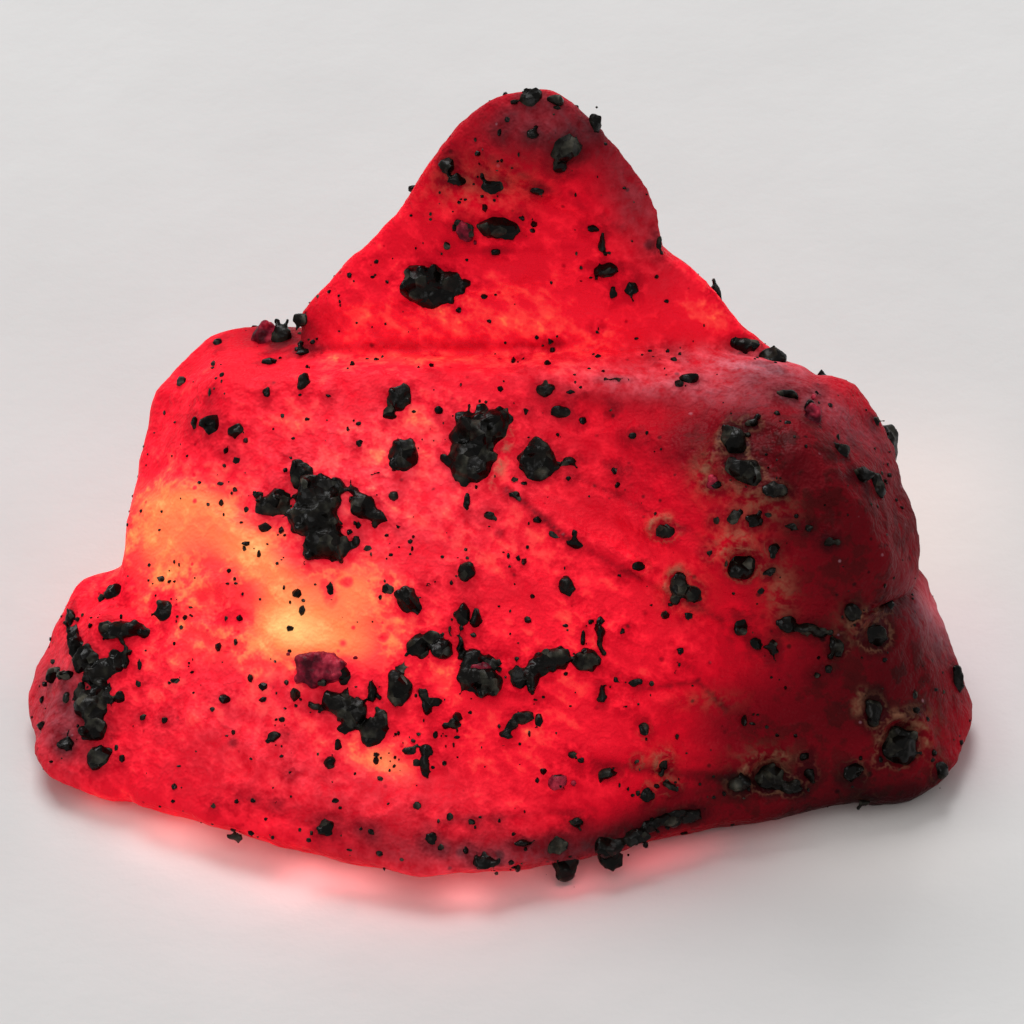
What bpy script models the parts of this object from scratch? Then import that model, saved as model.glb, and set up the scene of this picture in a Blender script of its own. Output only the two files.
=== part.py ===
"""Raw ruby crystal: a leaning wedge of ruby with black mineral grains grown into its skin.

The stone is drawn as six convex lobes that have grown together: a front slab with a narrow shelf
along its top, the peak behind it in two tiers, a lobe and a toe on the right and a toe on the left.
They are melted into one body, roughened, cut flat where the stone rests, and the proud black grains
are fused on. Everything is drawn in millimetres and scaled to metres at the end.
"""

import math
import random

import bmesh
import bpy
from mathutils import Matrix, Vector, noise
from mathutils.bvhtree import BVHTree

# Driving dimensions, in millimetres.
LEAN = math.radians(40)  # how far the broad face leans back from upright
BASE_DROP = 2.25  # the drawing's zero height above the resting plane, before the tilt
BACK_SHIFT = 3.6  # brings the middle of the footprint to the origin
GROWTH_GRID = 0.22  # how finely the lobes are melted together
SMOOTH_ROUNDS = 3
SKIN_GROWTH = 0.1  # makes up for what melting and smoothing take off the lobes
SKIN_FACES = 5200
LUMP_SIZE, LUMP_HEIGHT = 2.4, 0.16
KNOB_SIZE, KNOB_HEIGHT = 0.9, 0.07
RIM_SHARE = 0.5  # height of a pit's rim against the pit's depth
RIM_WIDTH, PIT_FLOOR = 0.25, 0.7  # half width of a pit's rim and of its floor, against its radius
EDGE_TUCK = 0.3  # how far the skin draws in where it meets the resting plane
TUCK_HEIGHT = 0.6
BURIED_SHARE = 0.45  # how much of a grain's height lies under the skin
GRAIN_DEPTH = 0.8  # depth of a grain against the mean of its width and height
LOWEST_SPOT = 0.4  # where a grain on the shaded underside hangs at the lowest
GRAIN_RINGS = ((-0.7, 0.8, 3), (0.0, 1.1, 5), (0.75, 0.8, 4))  # level, reach and corners of each ring
# How far a grain's corners stray: round the ring as a share of a step, outwards and along.
CORNER_STRAY, REACH_STRAY, LEVEL_STRAY = (-0.2, 0.2), (0.9, 1.1), (0.85, 1.1)
BACK_GRAINS = 50  # how many are tried; those that would fall on the front are left out
BACK_ARC = (0.0, 180.0)  # degrees round from the right-hand end, past the back, to the left-hand end
BACK_FACING = -0.35  # the cosine with the broad face's outward axis below which the skin is the back
BACK_HEIGHTS = (0.8, 12.0, 3.0)  # lowest, highest and most usual
BACK_OFFSET = 5.0  # how far to either side of the middle a line towards the back starts
BACK_SIZES = (0.4, 1.2, 0.5)  # smallest, largest and most usual
BACK_SLIMNESS = (0.6, 1.0)  # a grain's short size against its long one
MIDDLE_DEPTH = 5.0
FAR_OFF = 30.0
RUBY_RED = (0.55, 0.01, 0.03, 1.0)
RUBY_ROUGHNESS = 0.4
SEED = 7

MM = 0.001


def face(across, up, out):
    """A point drawn on the leaning broad face: across it, up it and out of it."""
    depth = up * math.sin(LEAN) - out * math.cos(LEAN)
    height = up * math.cos(LEAN) + out * math.sin(LEAN) - BASE_DROP
    return Vector((across, depth, height))


def stand(across, depth, height):
    """A point drawn in the stone's standing frame."""
    return Vector((across, depth, height))


ACROSS_FACE = face(1, 0, 0) - face(0, 0, 0)
UP_FACE = face(0, 1, 0) - face(0, 0, 0)
OUT_OF_FACE = face(0, 0, 1) - face(0, 0, 0)

FRONT_SLAB = (
    # top edge of the shelf, where the peak rises
    face(-7.3, 10.3, -0.5), face(-6.3, 11.3, -0.8), face(-5.5, 11.45, -0.8), face(-4.2, 11.2, 0.2),
    face(0.0, 11.0, 1.4), face(4.2, 11.0, 1.8), face(6.4, 10.6, 1.6),
    # front edge of the shelf
    face(-5.6, 10.3, 1.6), face(-3.0, 10.4, 2.3), face(0.0, 10.45, 2.6), face(3.5, 10.3, 2.9),
    face(6.4, 10.0, 2.8),
    # left edge
    face(-7.4, 9.0, 0.0), face(-7.95, 7.3, 0.4), face(-8.1, 6.5, 0.8), face(-7.9, 1.5, 1.6),
    # crown of the broad face
    face(-4.0, 5.5, 3.5), face(0.0, 5.0, 3.9), face(4.0, 5.0, 3.9),
    # lower edge, a lip that hangs a little above the resting plane
    stand(-7.6, -1.2, 0.75), stand(-6.0, -2.0, 0.8), stand(-4.0, -2.7, 0.8), stand(-1.5, -3.4, 0.8),
    stand(0.0, -3.4, 0.8), stand(1.6, -2.9, 0.75), stand(3.2, -2.05, 0.7), stand(5.3, -1.0, 0.65),
    stand(8.0, -0.7, 0.65),
    # the undercut below it, which runs on below the resting plane
    stand(-7.4, 0.4, -1.0), stand(-5.0, -0.9, -1.0), stand(-1.5, -1.8, -1.0), stand(1.0, -1.6, -1.0),
    stand(4.0, -0.2, -1.0), stand(8.0, 0.4, -1.0),
    # right edge
    face(8.5, 5.0, 1.2), face(8.3, 9.0, 0.5),
    # back
    stand(-8.0, 4.5, -1.0), stand(-5.4, 7.6, -1.0), stand(-1.0, 9.4, -1.0), stand(4.6, 9.0, -1.0),
    stand(9.0, 5.0, -1.0), stand(-4.6, 7.8, 5.2), stand(5.4, 8.3, 4.6),
    stand(-2.0, 9.7, 4.6), stand(0.8, 10.5, 3.8), stand(3.0, 9.8, 4.4),
)

PEAK_FOOT = (
    face(-4.2, 10.5, 0.8), face(-4.24, 11.7, 0.6), face(-3.25, 12.65, 1.2), face(-2.5, 13.4, 1.6),
    face(-2.1, 13.9, 1.9), face(3.1, 12.8, 2.3), face(4.0, 12.75, 2.1), face(4.75, 11.9, 1.4),
    face(5.4, 10.95, 1.0), face(6.2, 10.45, 0.8), face(6.4, 10.0, 1.0),
    face(-2.0, 11.2, 1.5), face(0.0, 11.0, 1.7), face(2.0, 11.0, 1.8), face(4.0, 11.0, 1.6),
    face(0.0, 13.4, 2.5), face(2.2, 13.4, 2.5),
    stand(-2.9, 8.8, 6.2), stand(-1.0, 9.3, 8.6), stand(1.9, 9.3, 8.6), stand(4.4, 8.5, 5.6),
    stand(-1.4, 9.7, 4.5), stand(2.2, 9.8, 4.2),
)

PEAK_TIP = (
    face(-2.1, 13.9, 1.9), face(-1.3, 15.15, 2.4), face(-0.45, 16.15, 3.2), face(0.1, 16.4, 3.5),
    face(1.0, 16.35, 3.5), face(1.45, 16.05, 3.4), face(2.0, 15.65, 3.2), face(2.6, 15.2, 3.0),
    face(3.2, 14.4, 2.7), face(3.4, 13.6, 2.5), face(3.35, 12.9, 2.3),
    face(-2.0, 12.0, 1.6), face(-0.3, 11.6, 1.8), face(2.4, 11.6, 1.8), face(3.4, 11.8, 1.7),
    face(-0.6, 14.0, 2.7), face(1.2, 13.5, 2.7), face(1.0, 15.4, 3.6), face(0.2, 15.4, 3.5),
    stand(-0.7, 9.4, 8.8), stand(1.9, 9.4, 8.8), stand(0.3, 9.2, 10.9), stand(1.2, 9.2, 10.8),
)

RIGHT_LOBE = (
    face(4.4, 9.9, 2.9), face(5.5, 10.3, 2.6), face(6.4, 10.5, 1.9), face(7.5, 10.25, 1.4),
    face(8.1, 9.4, 1.4), face(8.5, 8.1, 1.5), face(8.9, 7.4, 1.8), face(8.93, 6.85, 2.0),
    face(8.9, 6.45, 2.2), face(8.7, 6.0, 2.4), face(7.85, 5.7, 3.4),
    face(5.0, 8.6, 4.3), face(6.4, 8.8, 4.4), face(7.6, 7.6, 4.2), face(8.1, 6.6, 3.8),
    face(7.4, 6.2, 3.9), face(6.0, 6.2, 4.1), face(5.2, 6.8, 4.2), face(4.7, 7.6, 4.2),
    face(2.4, 9.4, 3.1), face(2.6, 7.4, 3.6), face(3.6, 5.4, 3.8), face(5.6, 5.0, 3.5),
    face(6.0, 9.0, -1.0), face(8.0, 8.0, -0.5), face(8.0, 6.0, 0.0),
)

RIGHT_TOE = (
    face(8.95, 6.15, 0.4), face(9.15, 5.35, 0.5), face(9.6, 4.8, 0.4), face(10.0, 3.5, 0.1),
    face(10.05, 2.9, 0.3),
    face(8.5, 5.4, 2.2), face(9.2, 3.4, 1.9), face(8.6, 2.6, 2.6), face(7.4, 5.7, 3.5),
    face(7.2, 2.0, 2.8), face(5.2, 5.0, 3.5), face(5.2, 1.8, 3.0),
    stand(10.0, 1.3, 0.6), stand(9.7, 0.2, 0.6), stand(9.3, -0.35, 0.6), stand(8.7, -0.75, 0.6),
    stand(8.1, -0.85, 0.6), stand(9.2, 1.6, -1.0), stand(8.7, 0.7, -1.0), stand(8.0, 0.4, -1.0),
    stand(9.4, 3.5, 1.0), stand(8.9, 4.4, 2.2), stand(8.2, 6.0, 2.0),
)

LEFT_TOE = (
    face(-8.15, 6.4, 0.3), face(-8.95, 6.05, 0.0), face(-9.45, 5.1, -0.1), face(-9.95, 4.2, -0.2),
    face(-10.1, 3.2, 0.2), face(-8.4, 5.2, 1.5), face(-9.1, 4.2, 1.4), face(-9.3, 3.1, 1.5),
    face(-8.4, 2.6, 1.9), face(-7.4, 4.4, 2.1), face(-6.2, 4.8, 2.1), face(-6.0, 2.4, 2.4),
    stand(-9.85, 0.5, 0.6), stand(-9.5, -0.1, 0.6), stand(-8.8, -0.5, 0.6), stand(-8.0, -0.8, 0.65),
    stand(-9.2, 1.2, -1.0), stand(-8.4, 0.6, -1.0), stand(-6.4, -0.4, -1.0),
    stand(-9.5, 3.6, 1.0), stand(-9.0, 4.4, 1.2), stand(-8.1, 5.4, 1.4),
)

LOBES = (FRONT_SLAB, PEAK_FOOT, PEAK_TIP, RIGHT_LOBE, RIGHT_TOE, LEFT_TOE)


# Parting ridges on the broad face and the peak: their two ends, half width and height.
RIDGES = (
    ((0.4, 7.9), (4.4, 5.5), 0.22, 0.16),
    ((1.4, 8.2), (4.6, 6.5), 0.18, 0.11),
    ((-0.6, 7.0), (3.0, 4.4), 0.2, 0.1),
    ((2.6, 3.4), (4.9, 4.0), 0.22, 0.14),
    ((2.2, 2.6), (5.2, 2.5), 0.2, 0.1),
    ((-6.9, 8.2), (-4.6, 6.4), 0.25, 0.12),
    ((-6.4, 3.2), (-3.6, 1.5), 0.25, 0.12),
    ((-3.6, 12.0), (0.4, 12.6), 0.22, 0.1),
    ((-0.4, 15.2), (2.6, 13.6), 0.2, 0.1),
)

# Pits on the broad face: where each sits across and up it, its radius and its depth.
PITS = (
    (5.1, 6.5, 0.5, 0.16), (8.4, 2.7, 0.62, 0.16), (5.6, 2.0, 0.6, 0.16), (5.3, 8.8, 0.75, 0.18),
    (3.6, 6.0, 0.5, 0.12), (7.9, 5.0, 0.5, 0.14), (3.5, 2.1, 0.4, 0.12), (-6.1, 5.6, 0.5, 0.1),
    (-5.5, 2.3, 0.45, 0.1), (2.0, 9.6, 0.5, 0.1), (-2.6, 1.6, 0.5, 0.1), (6.8, 7.6, 0.5, 0.12),
)

# The proud black grains, region by region: where each sits across and up the broad face, how wide
# and how high it is, and by how many degrees it is turned where it isn't upright.
PEAK_GRAINS = (
    (0.7, 16.4, 0.5, 0.4), (1.4, 15.3, 0.6, 0.6), (-0.1, 14.5, 0.6, 0.3), (0.0, 13.6, 0.9, 0.5),
    (-0.7, 13.5, 0.3, 0.4), (-1.6, 12.4, 1.1, 0.9), (-1.0, 12.4, 0.6, 0.5), (2.2, 12.7, 0.6, 0.3),
)
SHELF_GRAINS = (
    (5.2, 11.1, 0.7, 0.3), (5.8, 10.8, 0.6, 0.5), (1.3, 9.7, 0.5, 0.3),
)
LEFT_SHOULDER_GRAINS = (
    (-4.8, 11.3, 0.8, 0.6), (-6.1, 9.4, 0.4, 0.5),
)
UPPER_MIDDLE_GRAINS = (
    (-2.1, 10.0, 0.5, 0.6), (-2.1, 8.8, 0.6, 0.8), (-0.3, 9.2, 1.1, 1.3, 30), (-0.6, 8.5, 0.8, 0.8, 30),
    (0.8, 8.7, 0.8, 0.9),
)
LEFT_CLUSTER_GRAINS = (
    (-4.8, 7.8, 0.7, 0.5), (-4.0, 8.1, 0.8, 0.7), (-3.8, 7.4, 0.8, 0.8), (-3.6, 6.8, 0.8, 0.6),
    (-2.8, 7.7, 0.7, 0.4, -35),
)
LEFT_TOE_GRAINS = (
    (-8.2, 5.9, 0.4, 0.4), (-7.1, 5.5, 0.4, 0.5), (-7.9, 5.1, 0.9, 0.4), (-9.0, 4.9, 0.3, 0.6),
    (-8.8, 4.5, 0.6, 0.6), (-8.6, 4.1, 0.6, 0.5), (-9.4, 4.1, 0.4, 0.4), (-8.1, 4.4, 0.3, 0.5),
    (-8.6, 3.5, 0.8, 0.7), (-8.6, 3.0, 0.6, 0.5), (-8.5, 2.4, 0.5, 0.6),
)
LOWER_LEFT_GRAINS = (
    (-4.1, 4.2, 0.6, 0.6), (-3.6, 4.2, 0.6, 0.7), (-3.3, 3.5, 0.8, 0.6, -30), (-3.1, 3.3, 0.6, 0.5),
    (-2.6, 3.0, 0.6, 0.7), (-2.2, 3.8, 0.5, 0.7), (-3.7, 0.9, 0.4, 0.4),
)
CENTRE_GRAINS = (
    (-0.7, 6.3, 0.4, 0.5), (-1.9, 5.7, 0.7, 0.5, -35), (1.4, 6.0, 0.3, 0.6, 20), (-1.7, 4.7, 0.5, 0.5),
    (-1.2, 4.7, 0.4, 0.5), (-0.5, 4.4, 0.6, 0.6), (-0.2, 4.0, 0.6, 0.6), (-0.7, 4.0, 0.4, 0.4),
    (0.4, 4.1, 0.3, 0.5), (0.7, 4.2, 0.6, 0.5, 25), (1.2, 4.5, 0.6, 0.5, 25), (1.8, 4.5, 0.6, 0.4),
    (0.4, 3.1, 0.6, 0.5, 20),
)
RIGHT_GRAINS = (
    (3.5, 7.2, 0.5, 0.3), (3.8, 6.0, 0.4, 0.5), (4.1, 5.9, 0.4, 0.5), (5.0, 9.1, 0.4, 0.6),
    (5.2, 8.6, 0.5, 0.6), (5.6, 8.3, 0.5, 0.4, -20), (5.2, 6.5, 0.6, 0.6), (7.2, 8.9, 0.4, 0.3),
    (7.6, 8.4, 0.6, 0.3), (8.0, 8.1, 0.4, 0.5), (7.1, 4.8, 0.4, 0.4), (8.0, 5.0, 0.6, 0.6),
)
RIGHT_TOE_GRAINS = (
    (9.7, 4.0, 0.3, 0.6), (7.9, 3.4, 0.4, 0.6), (8.4, 2.7, 0.8, 0.8), (5.7, 2.0, 0.7, 0.6),
    (5.1, 1.8, 0.5, 0.4), (6.1, 1.8, 0.5, 0.3), (7.5, 2.1, 0.4, 0.4),
)
LOWER_EDGE_GRAINS = (
    (1.4, 0.2, 0.5, 0.9), (1.2, 0.5, 0.4, 0.4), (2.2, 0.6, 0.8, 0.4), (2.3, 0.4, 0.5, 0.7),
    (2.8, 0.7, 0.6, 0.3), (3.5, 1.1, 0.6, 0.3), (4.0, 1.1, 0.5, 0.3), (-0.3, 0.2, 0.6, 0.3),
)

FRONT_GRAINS = (
    PEAK_GRAINS + SHELF_GRAINS + LEFT_SHOULDER_GRAINS + UPPER_MIDDLE_GRAINS + LEFT_CLUSTER_GRAINS
    + LEFT_TOE_GRAINS + LOWER_LEFT_GRAINS + CENTRE_GRAINS + RIGHT_GRAINS + RIGHT_TOE_GRAINS
    + LOWER_EDGE_GRAINS
)


def clear_scene():
    for old in list(bpy.data.objects):
        bpy.data.objects.remove(old, do_unlink=True)


def add_object(name, form):
    """An object that holds the bmesh, which is freed."""
    mesh = bpy.data.meshes.new(name)
    form.to_mesh(mesh)
    form.free()
    made = bpy.data.objects.new(name, mesh)
    bpy.context.scene.collection.objects.link(made)
    return made


def settle(made):
    """Turns the object's modifiers into its own mesh."""
    graph = bpy.context.evaluated_depsgraph_get()
    settled = bpy.data.meshes.new_from_object(made.evaluated_get(graph))
    made.modifiers.clear()
    made.data = settled


def add_hull(form, points):
    """Adds the convex hull of the points to the bmesh."""
    corners = [form.verts.new(point) for point in points]
    made = bmesh.ops.convex_hull(form, input=corners)
    unused = {item for item in made["geom_interior"] if isinstance(item, bmesh.types.BMVert)}
    bmesh.ops.delete(form, geom=list(unused), context="VERTS")


def grow_lobes():
    """The lobes melted into one closed skin."""
    form = bmesh.new()
    for points in LOBES:
        add_hull(form, points)
    body = add_object("ruby_crystal", form)
    melt = body.modifiers.new("melt", "REMESH")
    melt.mode = "VOXEL"
    melt.voxel_size = GROWTH_GRID
    round_off = body.modifiers.new("round_off", "SMOOTH")
    round_off.iterations = SMOOTH_ROUNDS
    settle(body)
    return body


def face_place(point):
    """Where the point lies across and up the broad face."""
    return point.x, point.y * math.sin(LEAN) + (point.z + BASE_DROP) * math.cos(LEAN)


def ridge_height(across, up, ridge):
    """A low parting ridge that fades out at its two ends."""
    start, end, width, height = ridge
    run = (end[0] - start[0], end[1] - start[1])
    length = math.hypot(*run)
    from_start = (across - start[0], up - start[1])
    along = (from_start[0] * run[0] + from_start[1] * run[1]) / length
    aside = (from_start[0] * run[1] - from_start[1] * run[0]) / length
    overrun = max(0.0, -along, along - length)
    return height * math.exp(-(math.hypot(aside, overrun) / width) ** 2)


def pit_height(across, up, pit):
    """A round pit with a slightly raised rim."""
    centre_across, centre_up, radius, depth = pit
    share = math.hypot(across - centre_across, up - centre_up) / radius
    rim = math.exp(-((share - 1) / RIM_WIDTH) ** 2)
    floor = math.exp(-(share / PIT_FLOOR) ** 4)
    return depth * (RIM_SHARE * rim - floor)


def skin_height(point, facing):
    """How far the natural surface stands proud of the smooth form at this point."""
    height = noise.noise(point / LUMP_SIZE) * LUMP_HEIGHT + noise.noise(point / KNOB_SIZE) * KNOB_HEIGHT
    if facing > 0:
        across, up = face_place(point)
        marks = sum(ridge_height(across, up, ridge) for ridge in RIDGES)
        marks += sum(pit_height(across, up, pit) for pit in PITS)
        height += facing * marks
    return height


def roughen(body):
    """Gives the smooth form its natural surface, and draws it in towards the resting plane."""
    smooth_form = [(vertex.co.copy(), vertex.normal.copy()) for vertex in body.data.vertices]
    for vertex, (point, outward) in zip(body.data.vertices, smooth_form):
        nearness = min(1.0, max(0.0, 1.0 - point.z / TUCK_HEIGHT))
        sideways = Vector((outward.x, outward.y, 0.0))
        facing = outward.dot(OUT_OF_FACE)
        vertex.co = point + outward * (SKIN_GROWTH + skin_height(point, facing))
        vertex.co -= sideways * EDGE_TUCK * nearness * nearness


def thin_out(body):
    """Brings the body down to the triangles that its shape needs."""
    body.data.calc_loop_triangles()
    fewer = body.modifiers.new("fewer_faces", "DECIMATE")
    fewer.ratio = SKIN_FACES / len(body.data.loop_triangles)
    settle(body)


def cut_base(body):
    """Cuts the body off flat at the resting plane."""
    form = bmesh.new()
    form.from_mesh(body.data)
    everything = form.verts[:] + form.edges[:] + form.faces[:]
    cut = bmesh.ops.bisect_plane(
        form, geom=everything, plane_co=(0, 0, 0), plane_no=(0, 0, 1), clear_inner=True
    )
    rim = [item for item in cut["geom_cut"] if isinstance(item, bmesh.types.BMEdge)]
    bmesh.ops.edgeloop_fill(form, edges=rim)
    bmesh.ops.recalc_face_normals(form, faces=form.faces)
    form.to_mesh(body.data)
    form.free()


def add_grain(form, centre, axes, sizes, dice):
    """Adds one blunt, flat-faced grain: the hull of corners strewn over a jittered ellipsoid."""
    corners = []
    for level, reach, count in GRAIN_RINGS:
        start = dice.uniform(0, 2 * math.pi)
        for step in range(count):
            angle = start + 2 * math.pi * (step + dice.uniform(*CORNER_STRAY)) / count
            ring = reach * dice.uniform(*REACH_STRAY)
            height = level * dice.uniform(*LEVEL_STRAY)
            shares = (math.cos(angle) * ring, math.sin(angle) * ring, height)
            corner = centre.copy()
            for axis, size, share in zip(axes, sizes, shares):
                corner += axis * (0.5 * size * share)
            corners.append(corner)
    add_hull(form, corners)


def turned(axes, degrees):
    """The first two axes turned about the third."""
    first, second, third = axes
    angle = math.radians(degrees)
    across = first * math.cos(angle) + second * math.sin(angle)
    upward = second * math.cos(angle) - first * math.sin(angle)
    return across, upward, third


def plant(form, skin, start, axes, sizes, dice):
    """Sets a grain where a line from the start point against the third axis meets the skin."""
    spot = skin.ray_cast(start, -axes[2])[0]
    if spot is None:
        spot = skin.find_nearest(start - axes[2] * FAR_OFF)[0]
    elif spot.z < LOWEST_SPOT:
        spot += axes[2] * ((LOWEST_SPOT - spot.z) / axes[2].z)
    deep = 0.5 * (sizes[0] + sizes[1]) * GRAIN_DEPTH
    centre = spot + axes[2] * deep * (0.5 - BURIED_SHARE)
    add_grain(form, centre, axes, (*sizes, deep), dice)


def front_grains(form, skin, dice):
    axes = (ACROSS_FACE, UP_FACE, OUT_OF_FACE)
    for across, up, wide, high, *turn in FRONT_GRAINS:
        start = face(across, up, FAR_OFF)
        plant(form, skin, start, turned(axes, sum(turn)), (wide, high), dice)


def back_grains(form, skin, dice):
    """Grains strewn over the back and the two ends, wherever the skin faces away from the front."""
    for _ in range(BACK_GRAINS):
        angle = math.radians(dice.uniform(*BACK_ARC))
        height = dice.triangular(*BACK_HEIGHTS)
        outward = Vector((math.cos(angle), math.sin(angle), 0.0))
        sideways = Vector((-outward.y, outward.x, 0.0))
        middle = Vector((0.0, MIDDLE_DEPTH, height))
        middle += sideways * dice.uniform(-BACK_OFFSET, BACK_OFFSET)
        size = dice.triangular(*BACK_SIZES)
        sizes = (size, size * dice.uniform(*BACK_SLIMNESS))
        axes = (sideways, Vector((0.0, 0.0, 1.0)), outward)
        start = middle + outward * FAR_OFF
        turn = dice.uniform(0, 180)
        normal = skin.ray_cast(start, -outward)[1]
        if normal is not None and normal.dot(OUT_OF_FACE) < BACK_FACING:
            plant(form, skin, start, turned(axes, turn), sizes, dice)


def fuse_grains(body):
    """Joins every proud grain with the ruby that holds it."""
    form = bmesh.new()
    form.from_mesh(body.data)
    skin = BVHTree.FromBMesh(form)
    form.free()
    dice = random.Random(SEED)
    grown = bmesh.new()
    front_grains(grown, skin, dice)
    back_grains(grown, skin, dice)
    grains = add_object("grains_to_fuse", grown)
    grains.hide_render = True
    grains.display_type = "WIRE"
    fuse = body.modifiers.new("fuse_grains", "BOOLEAN")
    fuse.operation = "UNION"
    fuse.solver = "EXACT"
    fuse.use_self = True
    fuse.object = grains
    settle(body)
    bpy.data.objects.remove(grains, do_unlink=True)


def ruby():
    """Raw ruby: strong red, with a skin between frosted and glassy."""
    made = bpy.data.materials.new("ruby")
    made.use_nodes = True
    shader = made.node_tree.nodes["Principled BSDF"]
    shader.inputs["Base Color"].default_value = RUBY_RED
    shader.inputs["Roughness"].default_value = RUBY_ROUGHNESS
    shader.inputs["Metallic"].default_value = 0.0
    return made


def main():
    clear_scene()
    body = grow_lobes()
    roughen(body)
    thin_out(body)
    fuse_grains(body)
    cut_base(body)
    body.data.materials.clear()
    body.data.materials.append(ruby())
    body.data.transform(Matrix.Translation((0, -BACK_SHIFT, 0)))
    body.data.transform(Matrix.Scale(MM, 4))


main()
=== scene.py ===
"""Raw ruby crystal, dressed for rendering: a fine-grained body in place of the CAD solid, the black
mineral grains as knobbly clusters on its skin, procedural materials, a pale floor and soft light.

The body is grown as the CAD part is, from the same lobes, ridges and pits, with a finer skin.
Everything is drawn in millimetres, and moved to the frame in metres at the end.
"""

import math
import random

import bmesh
import bpy
import numpy as np
from mathutils import Matrix, Vector, noise
from mathutils.bvhtree import BVHTree

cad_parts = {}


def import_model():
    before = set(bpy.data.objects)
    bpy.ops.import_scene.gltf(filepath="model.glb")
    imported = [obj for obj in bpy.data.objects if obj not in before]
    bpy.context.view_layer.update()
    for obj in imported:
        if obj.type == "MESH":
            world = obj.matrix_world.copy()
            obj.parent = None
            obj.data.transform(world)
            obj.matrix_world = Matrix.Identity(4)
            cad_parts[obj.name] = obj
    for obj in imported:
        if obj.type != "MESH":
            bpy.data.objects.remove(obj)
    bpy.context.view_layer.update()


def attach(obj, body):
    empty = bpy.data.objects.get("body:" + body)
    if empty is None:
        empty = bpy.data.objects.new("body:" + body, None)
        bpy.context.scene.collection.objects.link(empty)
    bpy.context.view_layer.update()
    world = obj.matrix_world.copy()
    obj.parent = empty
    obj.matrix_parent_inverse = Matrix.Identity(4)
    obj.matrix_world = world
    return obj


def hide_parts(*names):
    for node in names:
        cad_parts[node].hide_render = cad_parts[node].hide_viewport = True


MM = 0.001

# The form, in millimetres, as in the CAD part.
LEAN = math.radians(40)  # how far the broad face leans back from upright
BASE_DROP = 2.25  # the drawing's zero height above the resting plane, before the tilt
BACK_SHIFT = 3.6  # brings the middle of the footprint to the origin
GROWTH_GRID = 0.1  # how finely the lobes are melted together
SMOOTH_ROUNDS = 12
SKIN_GROWTH = 0.1  # makes up for what melting and smoothing take off the lobes
SKIN_NOISES = ((2.4, 0.16), (0.9, 0.07), (0.42, 0.035), (0.2, 0.014))  # size and height of each
EDGE_TUCK = 0.3  # how far the skin draws in where it meets the resting plane
TUCK_HEIGHT = 0.6
FAR_OFF = 30.0

# The camera, in millimetres: it looks straight at the broad face.
EYE_DISTANCE = 240.0
VIEW_ACROSS, VIEW_UP, VIEW_OUT = 0.254, 7.59, 2.0  # the point in the middle of the picture
VIEW_WIDTH = 21.71  # how much of that point's plane the picture spans
SENSOR_WIDTH = 36.0
CLIP_START = 0.01


def face(across, up, out):
    """A point drawn on the leaning broad face: across it, up it and out of it."""
    depth = up * math.sin(LEAN) - out * math.cos(LEAN)
    height = up * math.cos(LEAN) + out * math.sin(LEAN) - BASE_DROP
    return Vector((across, depth, height))


ACROSS_FACE = face(1, 0, 0) - face(0, 0, 0)
UP_FACE = face(0, 1, 0) - face(0, 0, 0)
OUT_OF_FACE = face(0, 0, 1) - face(0, 0, 0)
EYE = face(VIEW_ACROSS, VIEW_UP, VIEW_OUT) + OUT_OF_FACE * EYE_DISTANCE

# The lobes: the corners of each, drawn on the leaning face, or else as bare triples, across, back and
# up from the resting plane.
FRONT_SLAB = (
    # top edge of the shelf, where the peak rises
    face(-7.3, 10.3, -0.5), face(-6.3, 11.3, -0.8), face(-5.5, 11.45, -0.8), face(-4.2, 11.2, 0.2),
    face(0.0, 11.0, 1.4), face(4.2, 11.0, 1.8), face(6.4, 10.6, 1.6),
    # front edge of the shelf
    face(-5.6, 10.3, 1.6), face(-3.0, 10.4, 2.3), face(0.0, 10.45, 2.6), face(3.5, 10.3, 2.9),
    face(6.4, 10.0, 2.8),
    # left edge
    face(-7.4, 9.0, 0.0), face(-7.95, 7.3, 0.4), face(-8.1, 6.5, 0.8), face(-7.9, 1.5, 1.6),
    # crown of the broad face
    face(-4.0, 5.5, 3.5), face(0.0, 5.0, 3.9), face(4.0, 5.0, 3.9),
    # lower edge, a lip that hangs a little above the resting plane
    (-7.6, -1.2, 0.75), (-6.0, -2.0, 0.8), (-4.0, -2.7, 0.8), (-1.5, -3.4, 0.8),
    (0.0, -3.4, 0.8), (1.6, -2.9, 0.75), (3.2, -2.05, 0.7), (5.3, -1.0, 0.65),
    (8.0, -0.7, 0.65),
    # the undercut below it, which runs on below the resting plane
    (-7.4, 0.4, -1.0), (-5.0, -0.9, -1.0), (-1.5, -1.8, -1.0), (1.0, -1.6, -1.0),
    (4.0, -0.2, -1.0), (8.0, 0.4, -1.0),
    # right edge
    face(8.5, 5.0, 1.2), face(8.3, 9.0, 0.5),
    # back
    (-8.0, 4.5, -1.0), (-5.4, 7.6, -1.0), (-1.0, 9.4, -1.0), (4.6, 9.0, -1.0),
    (9.0, 5.0, -1.0), (-4.6, 7.8, 5.2), (5.4, 8.3, 4.6),
    (-2.0, 9.7, 4.6), (0.8, 10.5, 3.8), (3.0, 9.8, 4.4),
)

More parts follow.
